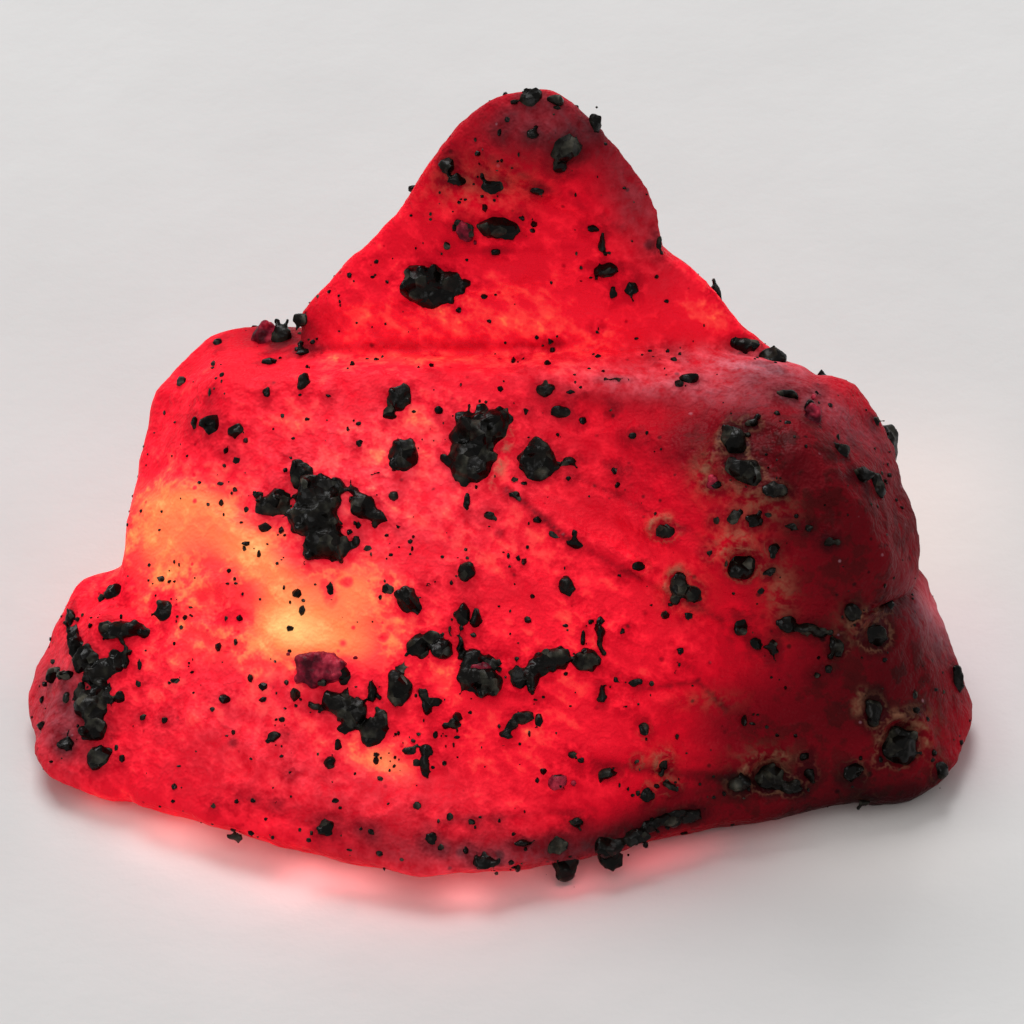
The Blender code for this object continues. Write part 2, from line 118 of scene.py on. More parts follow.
PEAK_FOOT = (
    face(-4.2, 10.5, 0.8), face(-4.24, 11.7, 0.6), face(-3.25, 12.65, 1.2), face(-2.5, 13.4, 1.6),
    face(-2.1, 13.9, 1.9), face(3.1, 12.8, 2.3), face(4.0, 12.75, 2.1), face(4.75, 11.9, 1.4),
    face(5.4, 10.95, 1.0), face(6.2, 10.45, 0.8), face(6.4, 10.0, 1.0),
    face(-2.0, 11.2, 1.5), face(0.0, 11.0, 1.7), face(2.0, 11.0, 1.8), face(4.0, 11.0, 1.6),
    face(0.0, 13.4, 2.5), face(2.2, 13.4, 2.5),
    (-2.9, 8.8, 6.2), (-1.0, 9.3, 8.6), (1.9, 9.3, 8.6), (4.4, 8.5, 5.6),
    (-1.4, 9.7, 4.5), (2.2, 9.8, 4.2),
)

PEAK_TIP = (
    face(-2.1, 13.9, 1.9), face(-1.3, 15.15, 2.4), face(-0.45, 16.15, 3.2), face(0.1, 16.4, 3.5),
    face(1.0, 16.35, 3.5), face(1.45, 16.05, 3.4), face(2.0, 15.65, 3.2), face(2.6, 15.2, 3.0),
    face(3.2, 14.4, 2.7), face(3.4, 13.6, 2.5), face(3.35, 12.9, 2.3),
    face(-2.0, 12.0, 1.6), face(-0.3, 11.6, 1.8), face(2.4, 11.6, 1.8), face(3.4, 11.8, 1.7),
    face(-0.6, 14.0, 2.7), face(1.2, 13.5, 2.7), face(1.0, 15.4, 3.6), face(0.2, 15.4, 3.5),
    (-0.7, 9.4, 8.8), (1.9, 9.4, 8.8), (0.3, 9.2, 10.9), (1.2, 9.2, 10.8),
)

RIGHT_LOBE = (
    face(4.4, 9.9, 2.9), face(5.5, 10.3, 2.6), face(6.4, 10.5, 1.9), face(7.5, 10.25, 1.4),
    face(8.1, 9.4, 1.4), face(8.5, 8.1, 1.5), face(8.9, 7.4, 1.8), face(8.93, 6.85, 2.0),
    face(8.9, 6.45, 2.2), face(8.7, 6.0, 2.4), face(7.85, 5.7, 3.4),
    face(5.0, 8.6, 4.3), face(6.4, 8.8, 4.4), face(7.6, 7.6, 4.2), face(8.1, 6.6, 3.8),
    face(7.4, 6.2, 3.9), face(6.0, 6.2, 4.1), face(5.2, 6.8, 4.2), face(4.7, 7.6, 4.2),
    face(2.4, 9.4, 3.1), face(2.6, 7.4, 3.6), face(3.6, 5.4, 3.8), face(5.6, 5.0, 3.5),
    face(6.0, 9.0, -1.0), face(8.0, 8.0, -0.5), face(8.0, 6.0, 0.0),
)

RIGHT_TOE = (
    face(8.95, 6.15, 0.4), face(9.15, 5.35, 0.5), face(9.6, 4.8, 0.4), face(10.0, 3.5, 0.1),
    face(10.05, 2.9, 0.3),
    face(8.5, 5.4, 2.2), face(9.2, 3.4, 1.9), face(8.6, 2.6, 2.6), face(7.4, 5.7, 3.5),
    face(7.2, 2.0, 2.8), face(5.2, 5.0, 3.5), face(5.2, 1.8, 3.0),
    (10.0, 1.3, 0.6), (9.7, 0.2, 0.6), (9.3, -0.35, 0.6), (8.7, -0.75, 0.6),
    (8.1, -0.85, 0.6), (9.2, 1.6, -1.0), (8.7, 0.7, -1.0), (8.0, 0.4, -1.0),
    (9.4, 3.5, 1.0), (8.9, 4.4, 2.2), (8.2, 6.0, 2.0),
)

LEFT_TOE = (
    face(-8.15, 6.4, 0.3), face(-8.95, 6.05, 0.0), face(-9.45, 5.1, -0.1), face(-9.95, 4.2, -0.2),
    face(-10.1, 3.2, 0.2), face(-8.4, 5.2, 1.5), face(-9.1, 4.2, 1.4), face(-9.3, 3.1, 1.5),
    face(-8.4, 2.6, 1.9), face(-7.4, 4.4, 2.1), face(-6.2, 4.8, 2.1), face(-6.0, 2.4, 2.4),
    (-9.85, 0.5, 0.6), (-9.5, -0.1, 0.6), (-8.8, -0.5, 0.6), (-8.0, -0.8, 0.65),
    (-9.2, 1.2, -1.0), (-8.4, 0.6, -1.0), (-6.4, -0.4, -1.0),
    (-9.5, 3.6, 1.0), (-9.0, 4.4, 1.2), (-8.1, 5.4, 1.4),
)

LOBES = (FRONT_SLAB, PEAK_FOOT, PEAK_TIP, RIGHT_LOBE, RIGHT_TOE, LEFT_TOE)

# Parting ridges on the broad face and the peak: their two ends, half width and height.
RIDGES = (
    ((0.4, 7.9), (4.4, 5.5), 0.22, 0.16),
    ((1.4, 8.2), (4.6, 6.5), 0.18, 0.11),
    ((-0.6, 7.0), (3.0, 4.4), 0.2, 0.1),
    ((2.6, 3.4), (4.9, 4.0), 0.22, 0.14),
    ((2.2, 2.6), (5.2, 2.5), 0.2, 0.1),
    ((-6.9, 8.2), (-4.6, 6.4), 0.25, 0.12),
    ((-6.4, 3.2), (-3.6, 1.5), 0.25, 0.12),
    ((-3.6, 12.0), (0.4, 12.6), 0.22, 0.1),
    ((-0.4, 15.2), (2.6, 13.6), 0.2, 0.1),
)

# Pits on the broad face: where each sits across and up it, its radius and its depth.
PITS = (
    (5.1, 6.5, 0.5, 0.16), (8.4, 2.7, 0.62, 0.16), (5.6, 2.0, 0.6, 0.16), (5.3, 8.8, 0.75, 0.18),
    (3.6, 6.0, 0.5, 0.12), (7.9, 5.0, 0.5, 0.14), (3.5, 2.1, 0.4, 0.12), (-6.1, 5.6, 0.5, 0.1),
    (-5.5, 2.3, 0.45, 0.1), (2.0, 9.6, 0.5, 0.1), (-2.6, 1.6, 0.5, 0.1), (6.8, 7.6, 0.5, 0.12),
)
RIM_SHARE = 0.5  # height of a pit's rim against the pit's depth
PIT_RIM_WIDTH, PIT_FLOOR = 0.25, 0.7  # as shares of the pit's radius

# The black grains, region by region: where each shows across and up the broad face, how wide it is,
# how high where that differs, and by how many degrees it is turned where it isn't upright.
PEAK_GRAINS = (
    (0.68, 16.39, 0.51, 0.42), (1.17, 16.3, 0.42, 0.25), (2.02, 15.82, 0.3, 0.46), (0.15, 15.9, 0.17),
    (0.0, 15.65, 0.17, 0.21), (0.66, 15.6, 0.25), (1.4, 15.31, 0.64), (1.27, 14.92, 0.34, 0.3),
    (-1.12, 14.97, 0.3, 0.38), (-0.89, 14.61, 0.47, 0.21), (-0.38, 14.69, 0.17),
    (-0.13, 14.5, 0.55, 0.3), (0.78, 14.39, 0.3, 0.17), (0.0, 13.59, 0.93, 0.47), (-0.89, 13.72, 0.17),
    (-0.72, 13.55, 0.34, 0.42), (0.45, 13.84, 0.21, 0.17), (-1.12, 13.23, 0.17),
    (-0.08, 13.1, 0.25, 0.13), (-1.59, 12.4, 1.1, 0.89), (-1.02, 12.42, 0.55, 0.51),
    (-0.81, 12.44, 0.42, 0.17), (1.97, 13.61, 0.25, 0.17), (2.18, 13.36, 0.11, 0.51),
    (2.25, 12.74, 0.55, 0.3), (2.76, 12.34, 0.3, 0.38), (2.4, 12.23, 0.15, 0.25), (2.06, 11.41, 0.13),
    (1.08, 11.21, 0.19), (-0.87, 11.87, 0.13), (4.62, 12.22, 0.34, 0.5), (3.35, 13.29, 0.17, 0.3),
)
SHELF_GRAINS = (
    (5.19, 11.13, 0.72, 0.3), (5.81, 10.83, 0.64, 0.51), (3.56, 10.98, 0.13), (3.79, 10.92, 0.13),
    (3.24, 10.88, 0.13), (-1.44, 10.68, 0.17), (0.49, 10.83, 0.13), (3.99, 10.41, 0.38, 0.21),
    (2.42, 10.41, 0.42, 0.08), (0.95, 10.15, 0.34, 0.3), (1.51, 10.13, 0.25, 0.13),
    (1.29, 9.71, 0.51, 0.3), (0.55, 9.73, 0.17, 0.21), (1.74, 9.54, 0.17), (2.8, 9.2, 0.21, 0.15),
    (-1.29, 9.75, 0.17),
)
LEFT_SHOULDER_GRAINS = (
    (-4.49, 11.68, 0.42, 0.3), (-4.6, 11.3, 0.5), (-4.11, 10.98, 0.47, 0.17), (-4.9, 10.77, 0.38, 0.21),
    (-6.0, 11.17, 0.21), (-4.94, 10.13, 0.21, 0.25), (-4.16, 10.35, 0.3, 0.38), (-3.63, 10.05, 0.13),
    (-3.12, 10.71, 0.17), (-6.47, 9.46, 0.21, 0.38), (-6.11, 9.43, 0.42, 0.47),
    (-5.62, 9.31, 0.38, 0.25), (-5.79, 8.9, 0.19), (-6.15, 10.11, 0.13, 0.3),
)
UPPER_MIDDLE_GRAINS = (
    (-2.1, 9.99, 0.51, 0.55), (-2.37, 9.65, 0.3), (-2.08, 8.76, 0.55, 0.81), (-2.97, 9.05, 0.17, 0.21),
    (-0.42, 9.25, 1.25, 1.0, 20), (-0.59, 8.65, 0.98, 1.05), (0.06, 9.58, 0.42, 0.46),
    (-0.76, 9.5, 0.45), (-1.02, 8.65, 0.32, 0.36), (-0.7, 7.8, 0.15, 0.45), (-1.19, 8.75, 0.17, 0.21),
    (0.81, 8.67, 0.85, 0.89), (1.44, 8.65, 0.34, 0.25), (1.44, 8.31, 0.13), (0.51, 8.2, 0.13),
    (0.3, 7.95, 0.3, 0.17), (-0.23, 7.53, 0.23, 0.21), (0.81, 7.4, 0.21, 0.13),
    (1.17, 7.1, 0.3, 0.17, -30), (1.59, 6.91, 0.38, 0.25), (2.44, 8.48, 0.25, 0.17), (2.5, 8.16, 0.11),
    (2.35, 9.75, 0.11),
)
LEFT_CLUSTER_GRAINS = (
    (-4.75, 7.76, 0.86, 0.62), (-4.2, 8.35, 0.52, 0.62), (-3.85, 7.85, 1.0), (-3.9, 7.4, 1.0, 0.8),
    (-3.65, 6.87, 1.0, 0.72), (-3.45, 8.14, 0.36, 0.42), (-4.2, 7.5, 0.55, 0.7), (-3.35, 6.85, 0.4),
    (-3.95, 6.8, 0.4, 0.55), (-3.1, 8.05, 0.3, 0.2, -40), (-2.88, 7.72, 0.62, 0.52, -42),
    (-2.6, 7.5, 0.5, 0.25, -35), (-3.05, 6.95, 0.22, 0.36), (-2.27, 7.93, 0.15),
    (-3.6, 5.98, 0.16, 0.32), (-2.65, 8.4, 0.25, 0.12, 20), (-2.18, 7.27, 0.15), (-4.43, 8.73, 0.13),
)
LEFT_TOE_GRAINS = (
    (-8.16, 5.87, 0.42), (-7.1, 5.47, 0.42, 0.51), (-7.89, 5.09, 0.93, 0.38), (-9.09, 5.34, 0.21, 0.42),
    (-9.03, 4.9, 0.34, 0.64), (-8.78, 4.45, 0.64), (-8.56, 4.11, 0.55, 0.51), (-9.43, 4.13, 0.42, 0.36),
    (-8.12, 4.41, 0.34, 0.51), (-8.61, 3.48, 0.81, 0.72), (-8.56, 2.97, 0.64, 0.51),
    (-8.52, 2.37, 0.51, 0.55), (-9.22, 2.67, 0.34, 0.38), (-8.06, 3.65, 0.3, 0.34), (-7.67, 3.96, 0.17),
    (-8.4, 4.25, 0.6, 0.45), (-8.16, 4.5, 0.14, 0.4, 20), (-7.93, 4.55, 0.12, 0.45),
    (-9.15, 4.12, 0.5, 0.16), (-8.95, 4.7, 0.4, 0.5, 30), (-7.5, 5.05, 0.35, 0.22),
    (-8.45, 3.8, 0.5, 0.4), (-8.9, 3.75, 0.3, 0.4), (-7.65, 4.35, 0.1, 0.3), (-9.2, 3.65, 0.12, 0.3),
    (-8.3, 5.1, 0.4, 0.42), (-8.01, 2.35, 0.13, 0.17), (-7.57, 3.24, 0.15), (-7.1, 3.18, 0.15),
)
LOWER_LEFT_GRAINS = (
    (-5.6, 4.83, 0.15), (-5.51, 5.32, 0.17), (-5.81, 5.34, 0.11), (-4.11, 4.2, 0.2),
    (-3.28, 4.16, 0.28, 0.36), (-5.87, 3.63, 0.23, 0.13), (-4.79, 2.84, 0.34, 0.17),
    (-3.43, 2.65, 0.19, 0.25), (-3.4, 3.5, 0.8, 0.55, -25), (-3.14, 3.35, 0.62, 0.6),
    (-2.66, 2.95, 0.55, 0.68, -25), (-3.2, 3.0, 0.4, 0.3), (-3.85, 3.45, 0.3, 0.14), (-2.5, 3.25, 0.3),
    (-2.71, 3.82, 0.21, 0.45), (-2.16, 3.82, 0.51, 0.72), (-2.08, 4.26, 0.23), (-1.61, 3.72, 0.22, 0.3),
    (-1.37, 3.56, 0.28, 0.22), (-1.53, 3.4, 0.2, 0.25), (-0.93, 3.1, 0.3), (-1.38, 2.84, 0.17),
    (-1.57, 2.54, 0.3), (-1.57, 2.12, 0.21, 0.47), (-1.19, 2.27, 0.13), (-1.91, 2.52, 0.3, 0.21),
    (-3.6, 2.25, 0.17, 0.25), (-3.67, 0.89, 0.42, 0.38), (-2.73, 0.81, 0.19), (-2.95, 0.87, 0.11),
    (-5.58, 1.46, 0.15), (-6.06, 1.36, 0.13), (-5.24, 1.46, 0.13), (-4.75, 1.42, 0.13),
    (-4.45, 2.06, 0.13), (-5.62, 0.72, 0.38, 0.21),
)
CENTRE_GRAINS = (
    (-0.74, 6.3, 0.38, 0.47), (-1.91, 5.66, 0.68, 0.47, -35), (-2.37, 5.94, 0.25, 0.21),
    (-1.53, 6.04, 0.17), (0.38, 6.61, 0.13), (0.19, 6.44, 0.11), (1.42, 6.02, 0.34, 0.55, 20),
    (-0.78, 5.41, 0.21, 0.51), (-0.49, 5.34, 0.17, 0.47), (-0.57, 4.96, 0.19), (-1.7, 4.75, 0.47, 0.51),
    (-1.19, 4.69, 0.42, 0.51), (-0.83, 4.75, 0.17, 0.51), (-0.53, 4.37, 0.55, 0.6),
    (-0.2, 4.4, 0.36, 0.4), (-0.3, 3.98, 0.75, 0.6), (-0.68, 4.02, 0.45), (0.38, 4.09, 0.34, 0.55),
    (0.8, 4.28, 0.7, 0.5, 25), (0.7, 4.0, 0.3, 0.36), (1.19, 4.47, 0.62, 0.5, 25),
    (1.84, 4.42, 0.6, 0.42), (1.8, 4.62, 0.25, 0.2), (2.12, 4.95, 0.14, 0.6), (2.15, 5.28, 0.18, 0.16),
    (1.93, 5.26, 0.13), (1.76, 4.95, 0.12, 0.3), (0.5, 3.22, 0.45, 0.26, -10),
    (0.18, 3.0, 0.26, 0.45, -15), (0.76, 3.6, 0.17, 0.13), (-1.06, 5.05, 0.1, 0.3),
    (-1.45, 4.9, 0.4, 0.3), (2.16, 3.75, 0.17, 0.38), (2.46, 4.05, 0.17, 0.13), (2.82, 3.99, 0.34, 0.17),
    (2.67, 3.46, 0.15), (3.05, 3.01, 0.21, 0.3), (2.61, 5.05, 0.19), (3.82, 4.64, 0.15),
    (3.71, 4.18, 0.11), (3.79, 4.35, 0.13), (1.23, 1.89, 0.34, 0.3), (2.27, 2.04, 0.42, 0.21),
    (1.53, 2.46, 0.17), (1.72, 2.31, 0.17), (2.9, 2.31, 0.15), (3.46, 2.27, 0.25, 0.3),
    (3.6, 1.76, 0.34, 0.25), (3.12, 1.59, 0.15, 0.32),
)
RIGHT_GRAINS = (
    (3.5, 7.17, 0.47, 0.3), (2.93, 6.42, 0.3, 0.21), (2.54, 6.25, 0.13), (3.82, 6.04, 0.42, 0.51),
    (4.07, 5.85, 0.42, 0.47), (3.73, 5.72, 0.3, 0.21), (4.03, 5.41, 0.19), (4.94, 9.05, 0.5, 0.85, 15),
    (5.2, 8.4, 0.85, 0.55, -35), (5.83, 8.06, 0.5, 0.3, -10), (5.34, 9.48, 0.3, 0.2),
    (4.58, 8.16, 0.25, 0.17), (4.96, 7.44, 0.25, 0.34), (4.58, 7.42, 0.17), (5.41, 7.4, 0.38, 0.25),
    (6.19, 7.29, 0.34, 0.21), (6.53, 7.25, 0.17), (6.95, 6.95, 0.25, 0.21), (5.15, 6.47, 0.59),
    (5.7, 6.32, 0.25, 0.17), (5.79, 6.81, 0.25, 0.21), (6.04, 10.09, 0.38, 0.21), (6.7, 10.11, 0.19),
    (6.59, 9.73, 0.25, 0.42), (7.21, 8.9, 0.42, 0.34), (7.63, 8.37, 0.59, 0.3), (7.97, 8.12, 0.42, 0.51),
    (7.97, 9.52, 0.19, 0.25), (5.11, 5.19, 0.34, 0.38), (5.41, 4.81, 0.25), (5.79, 4.71, 0.21, 0.42),
    (6.13, 5.26, 0.34, 0.38), (6.47, 5.15, 0.42, 0.25), (6.78, 5.02, 0.3, 0.21), (7.14, 4.77, 0.38),
    (7.48, 5.45, 0.34), (7.95, 4.98, 0.59, 0.55), (8.23, 5.64, 0.25), (4.43, 6.72, 0.17),
)
RIGHT_TOE_GRAINS = (
    (9.71, 4.03, 0.3, 0.64), (7.93, 3.39, 0.38, 0.59), (8.8, 3.37, 0.3, 0.17), (8.44, 2.67, 0.76, 0.85),
    (8.06, 2.33, 0.15), (9.18, 2.48, 0.17), (9.35, 2.1, 0.3, 0.42), (5.7, 1.95, 0.68, 0.55),
    (5.07, 1.84, 0.47, 0.38), (6.15, 1.76, 0.47, 0.3), (6.57, 2.06, 0.25), (6.47, 2.4, 0.25, 0.17),
    (7.48, 2.06, 0.42), (7.74, 1.46, 0.3, 0.21), (6.72, 4.13, 0.17), (6.95, 4.24, 0.13),
)
LOWER_EDGE_GRAINS = (
    (1.38, 0.13, 0.51, 0.7), (1.23, 0.51, 0.42), (1.59, 1.0, 0.3, 0.21), (2.25, 0.51, 0.81, 0.38),
    (2.31, 0.25, 0.47, 0.5), (2.84, 0.74, 0.64, 0.34), (3.54, 1.06, 0.64, 0.34),
    (4.03, 1.14, 0.51, 0.34), (3.18, 0.93, 0.42, 0.25), (-0.3, 0.17, 0.59, 0.3), (-1.46, 0.66, 0.28),
    (0.51, 0.57, 0.38, 0.13), (-1.25, 0.49, 0.13), (-1.06, 1.12, 0.15), (-1.76, 1.36, 0.15),
    (-0.59, 1.02, 0.17), (-0.02, 1.06, 0.13), (-0.72, 0.4, 0.13),
)

FRONT_GRAINS = (
    PEAK_GRAINS + SHELF_GRAINS + LEFT_SHOULDER_GRAINS + UPPER_MIDDLE_GRAINS + LEFT_CLUSTER_GRAINS
    + LEFT_TOE_GRAINS + LOWER_LEFT_GRAINS + CENTRE_GRAINS + RIGHT_GRAINS + RIGHT_TOE_GRAINS
    + LOWER_EDGE_GRAINS
)

# Grains of dark, purplish ruby that show the same way.
DARK_GRAINS = (
    (-3.95, 4.25, 0.8, 0.72), (-3.6, 4.3, 0.75, 0.62), (-0.4, 4.2, 0.5, 0.55), (-4.95, 11.3, 0.6),
    (1.23, 1.89, 0.4, 0.34), (-0.72, 13.55, 0.4, 0.45), (4.5, 8.16, 0.3, 0.24), (6.6, 9.6, 0.4, 0.5),
)

# Thin pale ridges, most of them round the sockets of grains: the points that each runs through.
PALE_EDGES = (
    ((0.23, 9.31), (0.17, 9.01), (0.06, 8.69), (-0.06, 8.4), (-0.17, 8.14)),
    ((4.52, 8.86), (4.41, 8.65), (4.3, 8.37), (4.37, 8.1), (4.58, 8.01)),
    ((4.75, 9.33), (4.64, 9.12), (4.71, 8.86)),
    ((5.17, 2.12), (5.3, 2.33), (5.55, 2.48), (5.83, 2.5), (6.06, 2.37)),
    ((4.79, 6.57), (4.73, 6.78), (4.83, 7.0), (5.05, 7.08), (5.3, 7.06)),
    ((3.18, 7.25), (3.22, 7.4), (3.39, 7.48), (3.56, 7.46)),
    ((3.56, 5.94), (3.54, 6.15), (3.65, 6.32), (3.82, 6.4)),
    ((7.48, 5.17), (7.57, 5.36), (7.76, 5.47), (7.95, 5.51)),
    ((8.06, 2.76), (8.03, 3.01), (8.18, 3.22), (8.4, 3.33), (8.59, 3.26)),
    ((8.78, 3.18), (9.03, 2.97), (9.05, 2.65)),
    ((7.59, 3.35), (7.59, 3.6), (7.67, 3.77)),
    ((3.29, 2.23), (3.29, 2.4), (3.43, 2.5), (3.6, 2.46)),
)
EDGE_WIDTH, EDGE_HEIGHT = 0.1, 0.09

# A zone is a soft-edged oval as seen on the broad face: its middle across and up, its reach across
# and up, what it adds in the middle, and by how many degrees it is turned where it isn't upright.

# Painted light and shade: where light shining through the stone is painted into its colour and glow, and
# where shade is painted instead.
GLOW_LEVEL = 0.6
GLOW_ZONES = (
    # the hot left-hand side, painted with light shining through
    (-7.3, 7.0, 0.8, 1.0, 0.16), (-6.1, 7.3, 1.5, 0.9, 0.12, -25), (-6.7, 7.9, 1.3, 0.35, 0.12),
    (-5.0, 6.5, 1.3, 0.6, 0.19, -42), (-4.5, 5.2, 0.9, 0.6, 0.19, -20), (-3.0, 5.9, 1.0, 0.7, 0.12),
    (-3.4, 6.3, 0.8, 0.6, 0.07), (-3.4, 4.7, 0.8, 0.5, 0.08), (-2.7, 2.2, 0.9, 0.4, 0.06, -30),
    (-3.1, 4.8, 1.4, 0.8, 0.14, -25), (-2.4, 2.4, 1.1, 0.45, 0.2, -30), (-6.6, 4.9, 0.5, 1.2, 0.06, 15),
    (-6.8, 5.9, 1.4, 1.5, 0.07), (-4.5, 4.8, 0.6, 0.7, 0.12), (-5.5, 4.8, 0.7, 0.7, 0.12),
    (-2.75, 5.8, 0.8, 0.9, 0.06), (-0.95, 4.0, 0.5, 0.5, 0.14),
    # the coral middle
    (-2.0, 8.6, 3.0, 2.0, 0.07), (1.6, 5.2, 1.8, 0.9, 0.03), (0.2, 2.9, 1.8, 0.8, 0.04),
    (-5.6, 2.0, 1.8, 0.6, -0.03, -15),
    # the lit shelf, and the shoulder at its left end
    (-2.0, 10.85, 2.4, 0.2, 0.1), (-6.6, 10.2, 1.2, 1.2, -0.03),
    # the left toe's outer edge
    (-9.6, 3.6, 0.8, 1.8, -0.16), (-9.1, 3.0, 0.6, 0.8, -0.12),
    # the window of clear deep red
    (3.0, 8.5, 1.7, 1.3, -0.09), (4.2, 9.1, 1.1, 0.7, -0.15), (2.6, 10.0, 1.7, 0.35, -0.12),
    # the right lobe and the skin below it, painted dark with shade where little light comes through
    (7.6, 7.2, 2.6, 3.2, -0.37), (5.5, 9.3, 1.5, 1.1, -0.18), (5.9, 8.4, 0.9, 0.9, -0.07),
    (5.5, 10.5, 1.1, 0.4, -0.14, -8), (7.0, 3.2, 1.4, 1.0, -0.05),
    # the right toe, painted dark with shade where little light comes through
    (8.5, 3.6, 2.3, 2.3, -0.29), (5.4, 2.75, 1.6, 1.2, -0.2),
    # its thin upper edge, lit through
    (9.15, 5.7, 0.3, 0.8, 0.14, 30),
    # the skin from there to the middle, and the shade along the lower right
    (7.7, 5.4, 1.5, 1.6, 0.05), (4.6, 3.4, 1.0, 0.9, -0.05), (7.5, 1.7, 3.0, 0.6, -0.2),
    (1.1, 1.8, 1.2, 0.5, -0.06),
    # the tip of the peak, painted dark with shade where little light comes through
    (0.5, 15.7, 2.0, 1.3, -0.24), (1.9, 15.8, 0.7, 0.6, -0.12), (-1.2, 14.6, 0.6, 1.0, -0.1, -30),
    (2.9, 14.2, 0.8, 1.7, -0.2, 20),
    # the peak's foot
    (4.2, 12.2, 0.7, 1.0, 0.06, 30), (1.5, 11.7, 3.5, 0.6, 0.05),
    # the shaded underside
    (-0.6, 0.4, 4.2, 0.45, -0.19), (-3.3, 1.0, 1.6, 0.35, -0.1, -8), (3.3, 1.1, 2.4, 0.5, -0.25, 18),
    (6.4, 1.05, 2.6, 0.45, -0.3, 4), (8.8, 1.4, 1.0, 0.5, -0.15, 20),
    # behind the left shoulder's grains
    (-4.6, 11.4, 0.9, 0.5, -0.3),
)
# Fine dark partings in the ruby: their two ends, half width and what they take off the glow.
PARTINGS = (
    ((0.1, 8.1), (1.6, 6.9), 0.07, 0.2),
    ((1.6, 6.9), (4.7, 5.3), 0.09, 0.12),
    ((1.5, 8.4), (4.6, 6.9), 0.06, 0.07),
    ((2.9, 3.8), (4.2, 4.0), 0.05, 0.12),
    ((4.2, 4.0), (4.8, 3.4), 0.05, 0.1),
    ((-4.2, 11.05), (1.4, 11.15), 0.12, 0.12),
    ((2.0, 2.3), (6.4, 1.7), 0.12, 0.12),
    ((-1.6, 1.0), (2.0, 1.3), 0.1, 0.08),
    ((-0.4, 15.2), (2.6, 13.6), 0.07, 0.06),
    ((-3.0, 13.0), (1.6, 13.2), 0.06, 0.05),
)
# Where a pale pinkish frost lies on the skin, and how thick: partly a real frosting, partly a painted
# sheen where the shelf and the ridges catch the light.
FROST_AND_SHEEN_ZONES = (
    (5.1, 10.75, 1.6, 0.3, 0.15, -4), (3.4, 10.3, 2.2, 0.3, 0.12, -6), (7.2, 9.6, 1.3, 0.35, 0.06, -38),
    (8.4, 8.2, 0.4, 1.4, 0.01, 15), (9.2, 5.4, 0.4, 0.8, 0.15, 30), (1.2, 15.9, 1.4, 0.6, 0.04),
    (3.0, 14.0, 0.6, 1.4, 0.04, 20), (-9.4, 3.6, 0.8, 1.6, 0.06), (-2.6, 8.2, 3.4, 2.2, 0.045),
    (-5.4, 3.4, 2.6, 1.6, 0.03), (-2.6, 1.6, 2.6, 0.8, 0.03, -10), (0.0, 0.0, 4.0, 0.6, 0.05),
)
# Where the grains sit in sockets with a rim.
RIM_ZONES = (
    (5.1, 6.6, 0.6, 0.6, 1.0), (5.2, 8.7, 1.0, 1.2, 0.7), (3.3, 7.2, 0.5, 0.4, 0.7),
    (7.9, 5.0, 0.7, 0.6, 0.8), (8.4, 2.7, 0.8, 0.9, 0.9), (5.7, 2.0, 0.8, 0.6, 0.9),
    (3.4, 2.2, 0.6, 0.6, 0.8), (3.8, 6.1, 0.6, 0.6, 0.5),
)
# Where the skin is tan.
TAN_ZONES = (
    (5.5, 7.85, 0.65, 0.35, 0.9, -20), (4.95, 6.95, 0.45, 0.4, 0.9), (5.95, 5.9, 0.3, 0.6, 0.7),
    (3.9, 5.9, 0.45, 0.45, 0.4), (4.3, 8.4, 0.3, 0.5, 0.5), (7.5, 5.2, 0.35, 0.35, 0.6),
    (5.6, 2.35, 0.6, 0.3, 0.5), (8.9, 3.1, 0.35, 0.35, 0.6), (3.4, 2.3, 0.3, 0.3, 0.5),
    (4.4, 3.6, 0.6, 0.2, 0.35), (-0.5, 14.5, 1.1, 0.5, 0.4),
)

# The skin round the grains: a low mound, a rim round each socket, a ring of deeper red and a tan rim.
# A gap is how far a place lies outside the nearest grain.
FARTHEST_GAP = 1.6  # beyond this a grain has no say
MOUND_WIDTH, MOUND_HEIGHT = 0.16, 0.03
SOCKET_RIM_GAP, SOCKET_RIM_WIDTH, SOCKET_RIM_HEIGHT = 0.1, 0.09, 0.05
HALO_WIDTH, HALO_DEPTH = 0.26, 0.095
GAP_STRAY = 0.07  # how far the ring and the rim stray from an even width
TAN_GAP, TAN_WIDTH = 0.1, 0.06
FRONT_GAIN = 2.0  # how fast the marks come up as the skin turns to the front

# The grains, in millimetres.
GRAIN_DEPTH = 0.6  # depth of a grain against the mean of its width and height
BURIED_SHARE = 0.45  # how much of a grain's depth lies under the skin
LOWEST_SPOT = 0.4  # where a grain on the shaded underside hangs at the lowest
SKIN_OUT = 1.0  # about how far the skin lies out of the drawn face
CHUNK_SHAPES = 40
CHUNK_RINGS = ((-0.9, 0.5, 3), (-0.35, 1.0, 5), (0.3, 1.0, 5), (0.9, 0.5, 3))  # level, reach, corners
CHUNK_STRAY = 0.25  # how far a corner strays round its ring, against the step between corners
CHUNK_REACH = (0.85, 1.2)
CHUNK_RISE = (0.85, 1.12)
CORE_SHARE = 1.05
KNOB_EVERY = 0.055  # a grain has one knob more for every so much of its size
KNOB_REACH = (0.26, 0.48)  # how far out the knobs sit, against the grain's size
KNOB_RISE = (-0.25, 0.3)
KNOB_SHARE = (0.45, 0.8)
KNOB_STRETCH = (0.75, 1.35)
KNOB_FINENESS = 0.35  # how fast the knobs shrink as a grain has more of them
MOST_KNOBS = 16
CRUMB_EVERY = 0.22
CRUMB_REACH = (0.66, 0.9)
CRUMB_SIZE = (0.06, 0.14)
GRAIN_GRID = 0.04  # how finely the grains are melted together
GRAIN_NOISES = ((0.13, 0.02), (0.35, 0.07))  # size and height of the roughness
GRAIN_FLOOR = 0.03  # the lowest that a grain reaches above the resting plane
BACK_GRAINS = 260  # how many are tried; those that would fall on the front are left out
BACK_ARC = (0.0, 180.0)
BACK_HEIGHTS = (0.3, 12.5, 3.5)  # lowest, highest and likeliest
